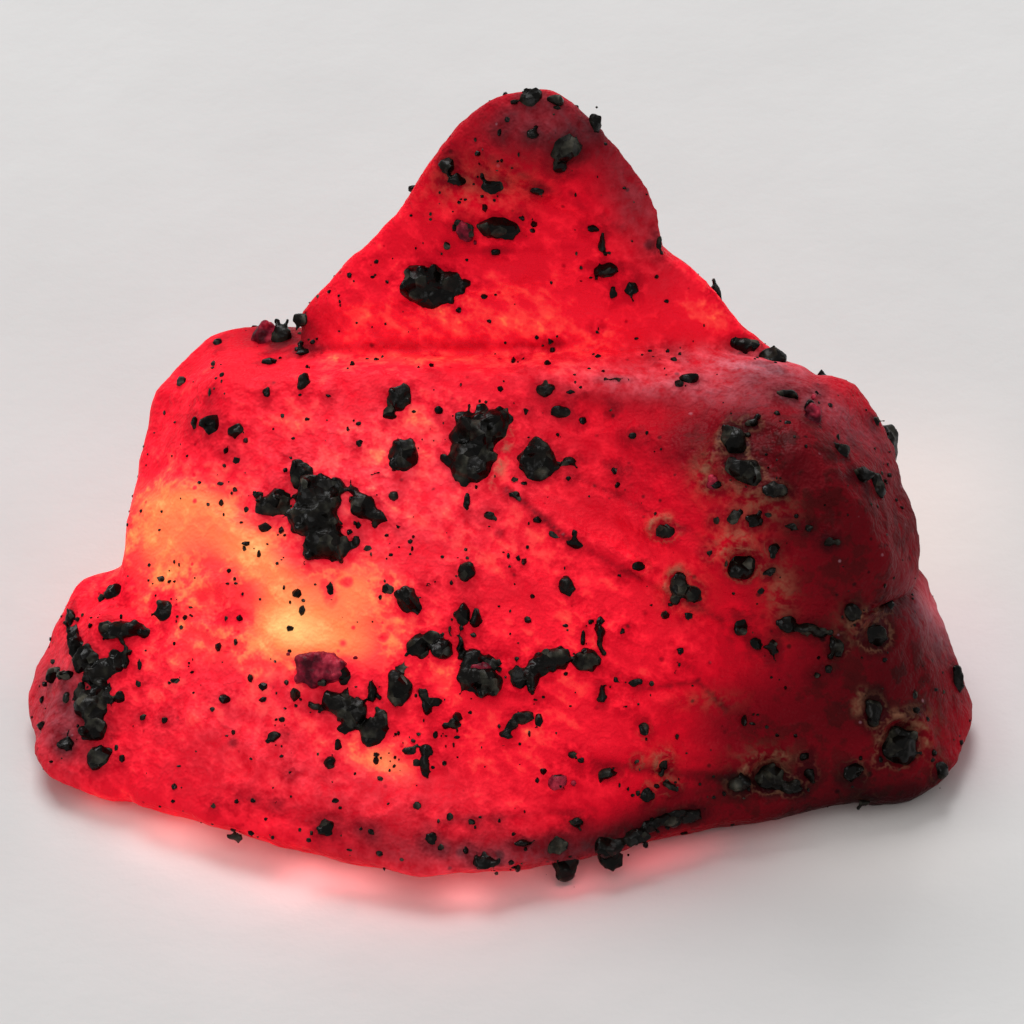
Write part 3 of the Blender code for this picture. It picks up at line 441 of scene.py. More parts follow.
BACK_SIZES = (0.15, 1.1, 0.25)  # smallest, largest and likeliest
BACK_SHIFTS = (-6.0, 6.0)  # how far aside of the middle each is aimed
BACK_TURNS = (0, 180)
BACK_ASPECTS = (0.6, 1.0)
BACK_FACING = -0.3  # how much the skin has to face away from the front
MIDDLE_DEPTH = 5.0  # of the stone, from the drawing's zero
SPECKS = 1100
SPECK_SIZE, SPECK_SPREAD, SPECK_MOST = 0.062, 0.5, 0.24
SPECK_SHAPE = (0.55, 1.5)
SPECK_CLUMP_SIZE, SPECK_CLUMPING = 1.1, 2.5
SPECK_FLOOR = 0.3  # the lowest that specks lie
SPECK_LEVEL, SPECK_LEAST = 0.5, 0.1
SPECK_ZONES = (
    (-3.5, 5.0, 4.5, 4.5, 1.0), (3.6, 7.6, 1.8, 1.6, -0.5), (-1.0, 12.8, 3.0, 1.8, 0.5),
)
SEED = 7

# Colours, as linear light.
# The ruby's colours along the painted glow, from painted deep shade to the painted orange of light
# shining through.
RUBY_STOPS = (
    (0.0, (0.012, 0.001, 0.002)),
    (0.15, (0.05, 0.003, 0.005)),
    (0.35, (0.26, 0.003, 0.01)),
    (0.52, (0.66, 0.003, 0.016)),
    (0.64, (0.93, 0.01, 0.028)),
    (0.74, (0.97, 0.05, 0.045)),
    (0.86, (1.0, 0.22, 0.07)),
    (1.0, (1.0, 0.6, 0.2)),
)
# a pale pinkish frost, partly a painted sheen where the skin reflects the light
FROST_AND_SHEEN_COLOUR = (0.85, 0.5, 0.6, 1.0)
DARK_BLOTCH_COLOUR = (0.012, 0.006, 0.005, 1.0)
TAN_COLOUR = (0.28, 0.125, 0.07, 1.0)
# the black grains' tones; the palest, on some facets, are partly painted highlights
BLACK_STOPS = (
    (0.5, (0.0025, 0.002, 0.0015)),
    (0.64, (0.007, 0.0055, 0.004)),
    (0.76, (0.026, 0.025, 0.018)),
    (0.88, (0.08, 0.07, 0.052)),
)
DARK_STOPS = ((0.35, (0.06, 0.004, 0.01)), (0.5, (0.22, 0.008, 0.025)), (0.65, (0.5, 0.03, 0.06)))
PAPER_STOPS = ((0.3, (0.72, 0.715, 0.71)), (0.7, (0.775, 0.77, 0.765)))

# The noises of the materials: size in millimetres, detail and roughness.
CLOUD = (1.6, 2.0, 0.5)
BLOTCH = (0.6, 1.0, 0.5)
MOTTLE = (0.25, 2.0, 0.7)
STREAK = (0.3, 2.0, 0.6)
STREAK_LENGTH, STREAK_SLANT = 5.0, math.radians(35)
PATCH = (0.3, 2.0, 0.6)
DARK_GRIT = (0.12, 2.0, 0.5)
PAPER_CLOUD = (9.0, 3.0, 0.6)
PAPER_GRIT = (1.2, 4.0, 0.6)
NOISE_BAND = (0.35, 0.65)  # where most of a noise's values lie

# How the glow of the ruby's skin varies.
GLOW_SWINGS = (("cloud", 0.05), ("blotch", 0.04), ("mottle", 0.045), ("streak", 0.045))
DEEPEST_PATCH = 0.03  # the most that the mottling takes off the glow
# Soft dots of deeper red: size of their cells, their radius, the share of the cells that have one
# and what they take off the glow.
DOTS = (
    (0.34, 0.075, 0.5, 0.16),
    (0.8, 0.17, 0.4, 0.15),
)
# painted glints: pale flecks standing in for small highlights on the dark skin
PAINTED_GLINTS = (0.45, 0.07, 0.4)  # pale flecks on the dark skin, as the first three of the above
DOT_SOFTNESS = 0.6

# How one value follows another: its low and its high end, and what each of them is turned into.
DARK_TO_LIVELINESS = (0.42, 0.62, 0.2, 1.0)
BRIGHT_TO_LIVELINESS = (0.72, 0.86, 1.0, 0.5)
MOTTLE_TO_FROST_AND_SHEEN = (0.3, 0.7, 0.2, 1.8)
NOISE_TO_DARK_BLOTCHES = (0.98, 1.14, 0.0, 1.0)
GLOW_TO_DARK_BLOTCHES = (0.2, 0.46, 0.6, 0.0)
GLOW_TO_PAINTED_GLINTS = (0.3, 0.5, 0.3, 0.0)
MOTTLE_TO_RIM = (0.4, 0.55, 0.0, 0.7)
MOTTLE_TO_TAN = (0.4, 0.62, 0.0, 0.8)
GLOW_TO_EMISSION = (0.3, 0.8, 0.0, 0.5)
MOTTLE_TO_ROUGHNESS = (0.25, 0.75, 0.34, 0.6)
FACET_TO_ROUGHNESS = (0.0, 1.0, 0.25, 0.5)

# The surfaces: sheen, roughness, and how high in millimetres the noises stand in the relief.
RUBY_BEND = 1.77  # ruby's refractive index
RUBY_SHEEN, DARK_SHEEN, BLACK_SHEEN, PAPER_SHEEN = 0.02, 0.1, 0.15, 0.1
DARK_ROUGHNESS, PAPER_ROUGHNESS = 0.4, 0.95
STREAK_RELIEF, MOTTLE_RELIEF, PATCH_RELIEF = 0.05, 0.09, 0.05
DARK_RELIEF, PAPER_RELIEF = 0.04, 0.03
FACET_SIZE, FACET_SLOPE = 0.24, 1.1
FACET_TONE, PATCH_TONE = 0.35, 0.8  # how much of a black grain's tone comes from each

FLOOR_REACH = 3.0  # in metres
# Light that has come through the stone to the floor, red under its lip and pale beside its toes: each
# patch's middle in the frame, in millimetres, its width and depth, its turn in degrees, its power in
# watts and its colour.
THROUGH_LIGHTS = (
    ("toe_left", (-8.0, -4.0, 0.6), 1.8, 1.4, -15, 0.000008, (1.0, 0.9, 0.85)),
    ("lip_left", (-5.4, -4.8, 0.6), 4.2, 1.8, -20, 0.00013, (1.0, 0.45, 0.43)),
    ("lip_middle", (-2.3, -6.0, 0.6), 4.2, 1.8, -10, 0.000125, (1.0, 0.3, 0.3)),
    ("lip_right", (2.8, -5.4, 0.6), 4.2, 1.6, 24, 0.00008, (1.0, 0.12, 0.14)),
    ("toe_right", (8.0, -5.7, 1.6), 4.4, 1.6, 5, 0.000013, (1.0, 0.9, 0.85)),
    ("glow_left", (-3.6, -7.4, 2.2), 8.0, 2.6, -14, 0.00001, (1.0, 0.1, 0.1)),
    ("glow_side", (9.8, -0.2, 1.5), 2.0, 6.0, 0, 0.000008, (1.0, 0.02, 0.2)),
    ("glow_back", (8.6, 5.0, 2.5), 3.0, 6.0, 0, 0.00003, (1.0, 0.5, 0.35)),
)
SKY_COLOUR = (1.0, 1.0, 1.0, 1.0)
SKY_STRENGTH = 0.36
# Azimuth and elevation in degrees, distance and width in metres and power in watts.
KEY_LIGHT = ("key", -165, 49.5, 0.6, 0.35, 2.85)
FILL_LIGHT = ("fill", -15, 65, 0.6, 0.3, 0.85)  # falls on the stone alone


def add_object(name, data):
    made = bpy.data.objects.new(name, data)
    bpy.context.scene.collection.objects.link(made)
    return made


def melt(made, grid, rounds):
    """Melts an object's parts together where they touch, and smooths what that makes."""
    remesh = made.modifiers.new("melt", "REMESH")
    remesh.mode = "VOXEL"
    remesh.voxel_size = grid
    made.modifiers.new("round_off", "SMOOTH").iterations = rounds
    graph = bpy.context.evaluated_depsgraph_get()
    melted = bpy.data.meshes.new_from_object(made.evaluated_get(graph))
    made.modifiers.clear()
    made.data = melted


def hull_of(points):
    """The corners and the triangles of the convex hull of the points."""
    form = bmesh.new()
    corners = [form.verts.new(point) for point in points]
    made = bmesh.ops.convex_hull(form, input=corners)
    unused = {item for item in made["geom_interior"] if isinstance(item, bmesh.types.BMVert)}
    bmesh.ops.delete(form, geom=list(unused), context="VERTS")
    form.verts.index_update()
    places = np.array([vertex.co for vertex in form.verts])
    faces = np.array([[vertex.index for vertex in item.verts] for item in form.faces])
    form.free()
    return places, faces


def mesh_of(name, parts):
    """One mesh that holds all the parts, each its corners and its triangles."""
    places = np.concatenate([part[0] for part in parts])
    starts = np.cumsum([0] + [len(part[0]) for part in parts[:-1]])
    faces = np.concatenate([part[1] + start for part, start in zip(parts, starts)])
    mesh = bpy.data.meshes.new(name)
    mesh.from_pydata(places, [], faces)
    return mesh


def grow_lobes():
    """The lobes melted into one closed skin."""
    body = add_object("ruby_skin", mesh_of("ruby_skin", [hull_of(points) for points in LOBES]))
    melt(body, GROWTH_GRID, SMOOTH_ROUNDS)
    return body


def read_rows(items, name, width=3, kind=np.float32):
    """What each of a mesh's items holds under that name, a row for each."""
    numbers = np.empty(len(items) * width, kind)
    items.foreach_get(name, numbers)
    return numbers.reshape(-1, width)


def places_of(mesh):
    return read_rows(mesh.vertices, "co").astype(float)


def normals_of(mesh):
    return read_rows(mesh.vertex_normals, "vector").astype(float)


def set_places(mesh, places):
    mesh.vertices.foreach_set("co", places.ravel())
    mesh.update()


def face_places(places):
    """Where each point lies across and up the broad face."""
    up = places[:, 1] * math.sin(LEAN) + (places[:, 2] + BASE_DROP) * math.cos(LEAN)
    return places[:, 0], up


def seen_places(places):
    """Where each point shows across and up the middle plane of the picture."""
    middle = np.array(face(VIEW_ACROSS, VIEW_UP, VIEW_OUT))
    ray = places - np.array(EYE)
    reach = EYE_DISTANCE / -(ray @ np.array(OUT_OF_FACE))
    met = np.array(EYE) + ray * reach[:, None] - middle
    return VIEW_ACROSS + met @ np.array(ACROSS_FACE), VIEW_UP + met @ np.array(UP_FACE)


def noise_at(places, size):
    return np.array([noise.noise(Vector(place) / size) for place in places])


def noise_heights(places, noises):
    """How far the noises, each a size and a height, lift each place together."""
    return sum(noise_at(places, size) * height for size, height in noises)


def bell(gap, width):
    """A soft hump: 1 where the gap is none, and next to nothing at twice the width."""
    return np.exp(-(gap / width) ** 2)


def line_gap(across, up, start, end):
    """How far each place lies from the line between two points."""
    step = (end[0] - start[0], end[1] - start[1])
    share = ((across - start[0]) * step[0] + (up - start[1]) * step[1]) / math.hypot(*step) ** 2
    share = np.clip(share, 0.0, 1.0)
    return np.hypot(across - start[0] - share * step[0], up - start[1] - share * step[1])


def ridge_heights(across, up, start, end, width, height):
    """A low parting ridge that fades out at its two ends."""
    return height * bell(line_gap(across, up, start, end), width)


def pit_heights(across, up, middle_across, middle_up, radius, depth):
    """A round pit with a slightly raised rim."""
    share = np.hypot(across - middle_across, up - middle_up) / radius
    rim = RIM_SHARE * bell(share - 1, PIT_RIM_WIDTH)
    return depth * (rim - np.exp(-(share / PIT_FLOOR) ** 4))


def turned_offsets(across, up, middle_across, middle_up, degrees):
    """How far each place lies from the middle, along two axes turned by so many degrees."""
    angle = math.radians(degrees)
    aside, above = across - middle_across, up - middle_up
    along = aside * math.cos(angle) + above * math.sin(angle)
    return along, above * math.cos(angle) - aside * math.sin(angle)


def zone_amounts(across, up, middle_across, middle_up, reach_across, reach_up, amount, turn=0):
    """What one zone adds at each place."""
    along, over = turned_offsets(across, up, middle_across, middle_up, turn)
    return amount * np.exp(-(along / reach_across) ** 2 - (over / reach_up) ** 2)


def zone_sum(across, up, zones):
    """What the zones add up to at each place."""
    return sum(zone_amounts(across, up, *zone) for zone in zones)


def grain_shape(across, up, wide, high=None, turn=0):
    """A listed grain's place, sizes and turn. One with no height of its own is as high as wide."""
    return across, up, wide, high or wide, turn


def grain_gap(across, up):
    """How far each place lies outside the nearest front grain; inside one it is negative."""
    nearest = np.full(len(across), FAR_OFF)
    for grain in FRONT_GRAINS:
        middle_across, middle_up, wide, high, turn = grain_shape(*grain)
        near = np.abs(across - middle_across) + np.abs(up - middle_up) < FARTHEST_GAP
        along, over = turned_offsets(across[near], up[near], middle_across, middle_up, turn)
        share = np.hypot(along / wide, over / high) * 2
        mean_radius = (wide + high) / 4
        nearest[near] = np.minimum(nearest[near], (share - 1) * mean_radius)
    return nearest


def edge_gap(across, up):
    """How far each place lies from the nearest pale ridge."""
    gaps = [line_gap(across, up, *ends) for run in PALE_EDGES for ends in zip(run, run[1:])]
    return np.minimum.reduce(gaps)


def roughen(body):
    """Gives the smooth form its natural surface, and draws it in towards the resting plane."""
    places = places_of(body.data)
    normals = normals_of(body.data)
    across, up = face_places(places)
    seen = seen_places(places)
    gap = grain_gap(*seen)
    marks = sum(ridge_heights(across, up, *ridge) for ridge in RIDGES)
    marks += sum(pit_heights(across, up, *pit) for pit in PITS)
    marks += EDGE_HEIGHT * bell(edge_gap(*seen), EDGE_WIDTH)
    marks += MOUND_HEIGHT * bell(np.maximum(gap, 0.0), MOUND_WIDTH)
    rims = bell(gap - SOCKET_RIM_GAP, SOCKET_RIM_WIDTH)
    marks += SOCKET_RIM_HEIGHT * rims * zone_sum(across, up, RIM_ZONES)
    facing = np.maximum(0.0, normals @ np.array(OUT_OF_FACE))
    height = noise_heights(places, SKIN_NOISES) + facing * marks
    nearness = np.clip(1.0 - places[:, 2] / TUCK_HEIGHT, 0.0, 1.0)
    sideways = normals * (1.0, 1.0, 0.0)
    grown = places + normals * (SKIN_GROWTH + height)[:, None]
    set_places(body.data, grown - sideways * EDGE_TUCK * nearness[:, None] ** 2)


def cut_base(body):
    """Cuts the body off flat at the resting plane."""
    form = bmesh.new()
    form.from_mesh(body.data)
    everything = form.verts[:] + form.edges[:] + form.faces[:]
    cut = bmesh.ops.bisect_plane(
        form, geom=everything, plane_co=(0, 0, 0), plane_no=(0, 0, 1), clear_inner=True
    )
    rim = [item for item in cut["geom_cut"] if isinstance(item, bmesh.types.BMEdge)]
    bmesh.ops.edgeloop_fill(form, edges=rim)
    bmesh.ops.recalc_face_normals(form, faces=form.faces)
    form.to_mesh(body.data)
    form.free()


def set_values(mesh, name, values):
    """Stores a number at each corner of the mesh for the material to read."""
    attribute = mesh.attributes.new(name, "FLOAT", "POINT")
    attribute.data.foreach_set("value", values.astype(np.float32))


def mark_zones(body):
    """Stores the painted light and shade of light shining through the skin, and what lies on it."""
    across, up = seen_places(places_of(body.data))
    facing = np.clip(normals_of(body.data) @ np.array(OUT_OF_FACE) * FRONT_GAIN, 0.0, 1.0)
    glow = GLOW_LEVEL + zone_sum(across, up, GLOW_ZONES)
    glow -= facing * sum(ridge_heights(across, up, *parting) for parting in PARTINGS)
    pale = bell(edge_gap(across, up), EDGE_WIDTH)
    set_values(body.data, "glow", glow)
    set_values(body.data, "frost_and_sheen", zone_sum(across, up, FROST_AND_SHEEN_ZONES))
    set_values(body.data, "gap", np.clip(grain_gap(across, up), -1.0, 1.0) + 1.0 - facing)
    set_values(body.data, "rims", facing * zone_sum(across, up, RIM_ZONES))
    set_values(body.data, "tan", facing * np.maximum(pale, zone_sum(across, up, TAN_ZONES)))


def chunk_shape(dice):
    """A blunt, flat-faced chunk about one across: the hull of corners strewn over a jittered ball."""
    corners = []
    for level, reach, count in CHUNK_RINGS:
        start = dice.uniform(0, 2 * math.pi)
        for step in range(count):
            angle = start + 2 * math.pi * (step + dice.uniform(-CHUNK_STRAY, CHUNK_STRAY)) / count
            ring = 0.5 * reach * dice.uniform(*CHUNK_REACH)
            rise = 0.5 * level * dice.uniform(*CHUNK_RISE)
            corners.append((math.cos(angle) * ring, math.sin(angle) * ring, rise))
    return hull_of(corners)


def any_turn(dice):
    """A rotation with no favoured direction."""
    numbers = np.array([dice.gauss(0, 1) for _ in range(4)])
    w, x, y, z = numbers / np.linalg.norm(numbers)
    return np.array((
        (1 - 2 * (y * y + z * z), 2 * (x * y - w * z), 2 * (x * z + w * y)),
        (2 * (x * y + w * z), 1 - 2 * (x * x + z * z), 2 * (y * z - w * x)),
        (2 * (x * z - w * y), 2 * (y * z + w * x), 1 - 2 * (x * x + y * y)),
    ))


def place_chunk(shapes, centre, axes, sizes, dice):
    """One of the chunks, turned any way, then stretched to the sizes along the axes."""
    corners, faces = dice.choice(shapes)
    stretched = (corners @ any_turn(dice).T) * sizes
    return stretched @ np.array(axes) + centre, faces


def turned(axes, degrees):
    """The first two axes turned about the third."""
    first, second, third = axes
    angle = math.radians(degrees)
    across = first * math.cos(angle) + second * math.sin(angle)
    upward = second * math.cos(angle) - first * math.sin(angle)
    return across, upward, third


def beside(centre, axes, sizes, angle, reach, rise):
    """A place round the centre, drawn as shares of the sizes along the axes."""
    shares = (math.cos(angle) * reach, math.sin(angle) * reach, rise)
    return centre + sum((axis * size * share for axis, size, share in zip(axes, sizes, shares)), Vector())


def grow_cluster(shapes, spot, axes, wide, high, dice):
    """A grain: one main chunk, knobs grown all round it, and crumbs at its foot."""
    middling = 0.5 * (wide + high)
    sizes = np.array((wide, high, middling * GRAIN_DEPTH))
    centre = spot + axes[2] * sizes[2] * (0.5 - BURIED_SHARE)
    parts = [place_chunk(shapes, centre, axes, sizes * CORE_SHARE, dice)]
    knobs = min(MOST_KNOBS, int(middling / KNOB_EVERY))
    for _ in range(knobs):
        angle = dice.uniform(0, 2 * math.pi)
        knob = beside(centre, axes, sizes, angle, dice.uniform(*KNOB_REACH), dice.uniform(*KNOB_RISE))
        share = dice.uniform(*KNOB_SHARE) / knobs ** KNOB_FINENESS
        knob_sizes = np.full(3, middling * share) * [dice.uniform(*KNOB_STRETCH) for _ in range(3)]
        parts.append(place_chunk(shapes, knob, axes, knob_sizes, dice))
    for _ in range(int(middling / CRUMB_EVERY)):
        angle = dice.uniform(0, 2 * math.pi)
        crumb = beside(spot, axes, sizes, angle, dice.uniform(*CRUMB_REACH), 0.0)
        parts.append(place_chunk(shapes, crumb, axes, np.full(3, dice.uniform(*CRUMB_SIZE)), dice))
    return parts


def melt_grains(name, parts):
    """The chunks melted together where they touch, and given a rough skin."""
    made = add_object(name, mesh_of(name, parts))
    melt(made, GRAIN_GRID, 1)
    places = places_of(made.data)
    places += normals_of(made.data) * noise_heights(places, GRAIN_NOISES)[:, None]
    places[:, 2] = np.maximum(places[:, 2], GRAIN_FLOOR)
    set_places(made.data, places)
    made.data.shade_smooth()
    return made


def spot_seen(skin, across, up):
    """Where the skin shows at that place on the broad face."""
    aim = (face(across, up, VIEW_OUT) - EYE).normalized()
    spot = skin.ray_cast(EYE, aim)[0]
    if spot is None:
        spot = skin.find_nearest(face(across, up, SKIN_OUT))[0]
    elif spot.z < LOWEST_SPOT:
        spot += aim * ((LOWEST_SPOT - spot.z) / aim.z)
    return spot


def front_grains(skin, grains, shapes, dice):
    """Every listed grain, set where it shows on the broad face."""
    parts = []
    for grain in grains:
        across, up, wide, high, turn = grain_shape(*grain)
        axes = turned((ACROSS_FACE, UP_FACE, OUT_OF_FACE), turn)
        parts += grow_cluster(shapes, spot_seen(skin, across, up), axes, wide, high, dice)
    return parts


def back_grains(skin, shapes, dice):
    """Grains strewn over the back and the two ends, wherever the skin faces away from the front."""
    parts = []
    for _ in range(BACK_GRAINS):
        angle = math.radians(dice.uniform(*BACK_ARC))
        height = dice.triangular(*BACK_HEIGHTS)
        outward = Vector((math.cos(angle), math.sin(angle), 0.0))
        sideways = Vector((-outward.y, outward.x, 0.0))
        middle = Vector((0.0, MIDDLE_DEPTH, height)) + sideways * dice.uniform(*BACK_SHIFTS)
        size = dice.triangular(*BACK_SIZES)
        turn = dice.uniform(*BACK_TURNS)
        spot, normal = skin.ray_cast(middle + outward * FAR_OFF, -outward)[:2]
        if spot is not None and normal.dot(OUT_OF_FACE) <= BACK_FACING:
            axes = turned((sideways, normal.cross(sideways), normal), turn)
            parts += grow_cluster(shapes, spot, axes, size, size * dice.uniform(*BACK_ASPECTS), dice)
    return parts


def specks(body, shapes, dice):
    """Fine black specks over the whole skin, in clumps, densest where SPECK_ZONES says."""
    mesh = body.data
    mesh.calc_loop_triangles()
    areas = read_rows(mesh.loop_triangles, "area", 1)[:, 0]
    corners = read_rows(mesh.loop_triangles, "vertices", 3, np.int32)
    places = places_of(mesh)
    dense = np.maximum(SPECK_LEAST, SPECK_LEVEL + zone_sum(*seen_places(places), SPECK_ZONES))
    dense *= np.exp(SPECK_CLUMPING * noise_at(places, SPECK_CLUMP_SIZE))
    weights = areas * dense[corners].mean(axis=1) * (places[corners][:, :, 2].mean(axis=1) > SPECK_FLOOR)
    chance = np.random.default_rng(SEED)
    parts = []
    for index in chance.choice(len(areas), SPECKS, p=weights / weights.sum()):
        first, second, third = places[corners[index]]
        centre = (first + second + third) / 3
        size = min(SPECK_MOST, SPECK_SIZE * math.exp(dice.gauss(0, SPECK_SPREAD)))
        sizes = size * np.array([dice.uniform(*SPECK_SHAPE) for _ in range(3)])
        parts.append(place_chunk(shapes, centre, np.identity(3), sizes, dice))
    return parts


def feed(node, inputs):
    """Sets a node's inputs. Each is a number, a colour or the socket that feeds it."""
    for name, value in inputs.items():
        if isinstance(value, bpy.types.NodeSocket):
            node.id_data.links.new(value, node.inputs[name])
        else:
            node.inputs[name].default_value = value


def add_node(kind, inputs, **settings):
    """Adds a node beside the ones that feed it, and gives its outputs."""
    tree = next(value.id_data for value in inputs.values() if isinstance(value, bpy.types.NodeSocket))
    made = tree.nodes.new(kind)
    for name, value in settings.items():
        setattr(made, name, value)
    feed(made, inputs)
    return made.outputs


def vector_step(operation, inputs):
    """One step of reckoning with vectors: the node's outputs."""
    return add_node("ShaderNodeVectorMath", inputs, operation=operation)


def new_material(name):
    """A material, and the place on the object in millimetres."""
    made = bpy.data.materials.new(name)
    made.use_nodes = True
    place = made.node_tree.nodes.new("ShaderNodeTexCoord").outputs["Object"]
    return made, vector_step("SCALE", {0: place, "Scale": 1 / MM})[0]


def set_surface(made, inputs):
    feed(made.node_tree.nodes["Principled BSDF"], inputs)
    return made


def grain_noise(place, size, detail, roughness):
    """Noise of about that grain size in millimetres, from 0 to 1."""
    inputs = {"Vector": place, "Scale": 1 / size, "Detail": detail, "Roughness": roughness}
    return add_node("ShaderNodeTexNoise", inputs)["Fac"]


def calculate(operation, first, second=0.0, third=0.0, clamp=False):
    inputs = {0: first, 1: second, 2: third}
    return add_node("ShaderNodeMath", inputs, operation=operation, use_clamp=clamp)[0]


def times(first, second):
    return calculate("MULTIPLY", first, second)


def spread(value, low, high, to_low=0.0, to_high=1.0):
    """The value's range from low to high brought to another range, and held to it."""
    inputs = {"Value": value, "From Min": low, "From Max": high, "To Min": to_low, "To Max": to_high}
    return add_node("ShaderNodeMapRange", inputs)["Result"]


def mix_colours(share, first, second):
    """The first colour under a share of the second."""
    inputs = {0: share, 6: first, 7: second}
    return add_node("ShaderNodeMix", inputs, data_type="RGBA")[2]


def colour_ramp(value, stops):
    colours = add_node("ShaderNodeValToRGB", {"Fac": value})["Color"]
    ramp = colours.node.color_ramp
    while len(ramp.elements) < len(stops):
        ramp.elements.new(0.5)
    for element, (position, colour) in zip(ramp.elements, stops):
        element.position = position
        element.color = (*colour, 1.0)
    return colours


def stored(beside, name):
    """The number that the mesh holds under that name, read in the same material as the socket."""
    made = beside.id_data.nodes.new("ShaderNodeAttribute")
    made.attribute_name = name
    return made.outputs["Fac"]


def bumped(height, depth=1.0):
    """The normal of a surface whose relief is the height times the depth, in millimetres."""
    inputs = {"Height": height, "Distance": depth * MM, "Strength": 1.0}
    return add_node("ShaderNodeBump", inputs)["Normal"]


def scattered_cells(place, size):
    """Cells of about that size in millimetres, and a random number from 0 to 1 for each."""
    inputs = {"Vector": place, "Scale": 1 / size, "Randomness": 1.0}
    cells = add_node("ShaderNodeTexVoronoi", inputs)
    return cells, add_node("ShaderNodeSeparateColor", {"Color": cells["Color"]})["Red"]


def soft_dots(place, cell, radius, share):
    """Soft round dots scattered one to a cell, in that share of the cells; 1 in a dot's middle."""
    cells, chance = scattered_cells(place, cell)
    reach = spread(chance, 1.0 - share, 1.0, 0.0, radius / cell)
    near = calculate("SUBTRACT", reach, cells["Distance"])
    return spread(near, 0.0, DOT_SOFTNESS * radius / cell)


def facets(place, size, slope):
    """Flat facets of about that size, each tilted its own way: the relief, and a number for each."""
    cells, chance = scattered_cells(place, size)
    offset = vector_step("SUBTRACT", {0: place, 1: cells["Position"]})[0]
    tilt = vector_step("SUBTRACT", {0: cells["Color"], 1: (0.5, 0.5, 0.5)})[0]
    relief = vector_step("DOT_PRODUCT", {0: offset, 1: tilt})["Value"]
    return times(relief, slope), chance


def streaks(place):
    """Noise drawn out along the growth lines, which slant down to the right."""
    inputs = {"Vector": place, "Axis": tuple(OUT_OF_FACE), "Angle": STREAK_SLANT}
    turned_place = add_node("ShaderNodeVectorRotate", inputs)["Vector"]
    drawn_out = vector_step("MULTIPLY", {0: turned_place, 1: (1 / STREAK_LENGTH, 1.0, 1.0)})[0]
    return grain_noise(drawn_out, *STREAK)


def ruby_glow(place, noises, gap):
    """How strongly painted light shines out of each place on the ruby: its zones, mottled and dotted."""
    glow = stored(place, "glow")
    patches = 0.0
    for name, swing in GLOW_SWINGS:
        patches = calculate("ADD", patches, spread(noises[name], *NOISE_BAND, -swing, swing))
    patches = calculate("MAXIMUM", patches, -DEEPEST_PATCH)
    liveliness = times(spread(glow, *DARK_TO_LIVELINESS), spread(glow, *BRIGHT_TO_LIVELINESS))
    glow = calculate("MULTIPLY_ADD", patches, liveliness, glow)
    glow = calculate("SUBTRACT", glow, spread(gap, 0.0, HALO_WIDTH, HALO_DEPTH, 0.0))
    for cell, radius, share, depth in DOTS:
        dots = soft_dots(place, cell, radius, share)
        glow = calculate("SUBTRACT", glow, times(dots, depth))
    return glow


def ruby_colour(place, noises, gap, glow):
    """The ruby's red, with near-black blotches where the painted glow is low, a pale frost that is partly
    a painted sheen, painted glints, and tan rims.
    """
    mottle = noises["mottle"]
    # near-black blotches, laid only where the painted glow is low
    dark_blotches = spread(calculate("ADD", noises["blotch"], mottle), *NOISE_TO_DARK_BLOTCHES)
    dark_blotches = times(dark_blotches, spread(glow, *GLOW_TO_DARK_BLOTCHES))
    red = mix_colours(dark_blotches, colour_ramp(glow, RUBY_STOPS), DARK_BLOTCH_COLOUR)
    # a pale frost, partly a painted sheen of reflected light
    frost_and_sheen = times(stored(place, "frost_and_sheen"), spread(mottle, *MOTTLE_TO_FROST_AND_SHEEN))
    # painted glints: pale flecks standing in for small highlights on the dark skin
    painted_glints = times(soft_dots(place, *PAINTED_GLINTS), spread(glow, *GLOW_TO_PAINTED_GLINTS))
    skin = mix_colours(calculate("ADD", frost_and_sheen, painted_glints), red, FROST_AND_SHEEN_COLOUR)
    off_rim = calculate("ABSOLUTE", calculate("SUBTRACT", gap, TAN_GAP))
    rim = times(spread(off_rim, 0.0, TAN_WIDTH, 1.0, 0.0), stored(place, "rims"))
    rim = times(rim, spread(mottle, *MOTTLE_TO_RIM))
    patch = times(stored(place, "tan"), spread(mottle, *MOTTLE_TO_TAN))
    return mix_colours(calculate("MAXIMUM", rim, patch, clamp=True), skin, TAN_COLOUR)


def ruby():
    """Raw ruby: deep red, with the orange of light shining through painted into its colour and emission,
    and a frosted, pebbly skin.
    """
    made, place = new_material("ruby")
    noises = {
        "cloud": grain_noise(place, *CLOUD),
        "blotch": grain_noise(place, *BLOTCH),
        "mottle": grain_noise(place, *MOTTLE),
        "streak": streaks(place),
    }
    mottle = noises["mottle"]
    gap = calculate("ADD", stored(place, "gap"), spread(mottle, *NOISE_BAND, -GAP_STRAY, GAP_STRAY))
    glow = ruby_glow(place, noises, gap)
    skin = ruby_colour(place, noises, gap, glow)
    relief = calculate("MULTIPLY_ADD", noises["streak"], STREAK_RELIEF, times(mottle, MOTTLE_RELIEF))
    return set_surface(made, {
        "Base Color": skin,
        # painted glow: the skin gives off its own colour as light where light is painted shining through
        "Emission Color": skin,
        "Emission Strength": spread(glow, *GLOW_TO_EMISSION),
        "Roughness": spread(mottle, *MOTTLE_TO_ROUGHNESS),
        "IOR": RUBY_BEND,
        "Specular IOR Level": RUBY_SHEEN,
        "Normal": bumped(relief),
    })


def dark_ruby():
    """Grains of ruby so deep that they look purple-black, red only in patches."""
    made, place = new_material("dark_ruby")
    return set_surface(made, {
        "Base Color": colour_ramp(grain_noise(place, *PATCH), DARK_STOPS),
        "Roughness": DARK_ROUGHNESS,
        "Specular IOR Level": DARK_SHEEN,
        "Normal": bumped(grain_noise(place, *DARK_GRIT), DARK_RELIEF),
    })


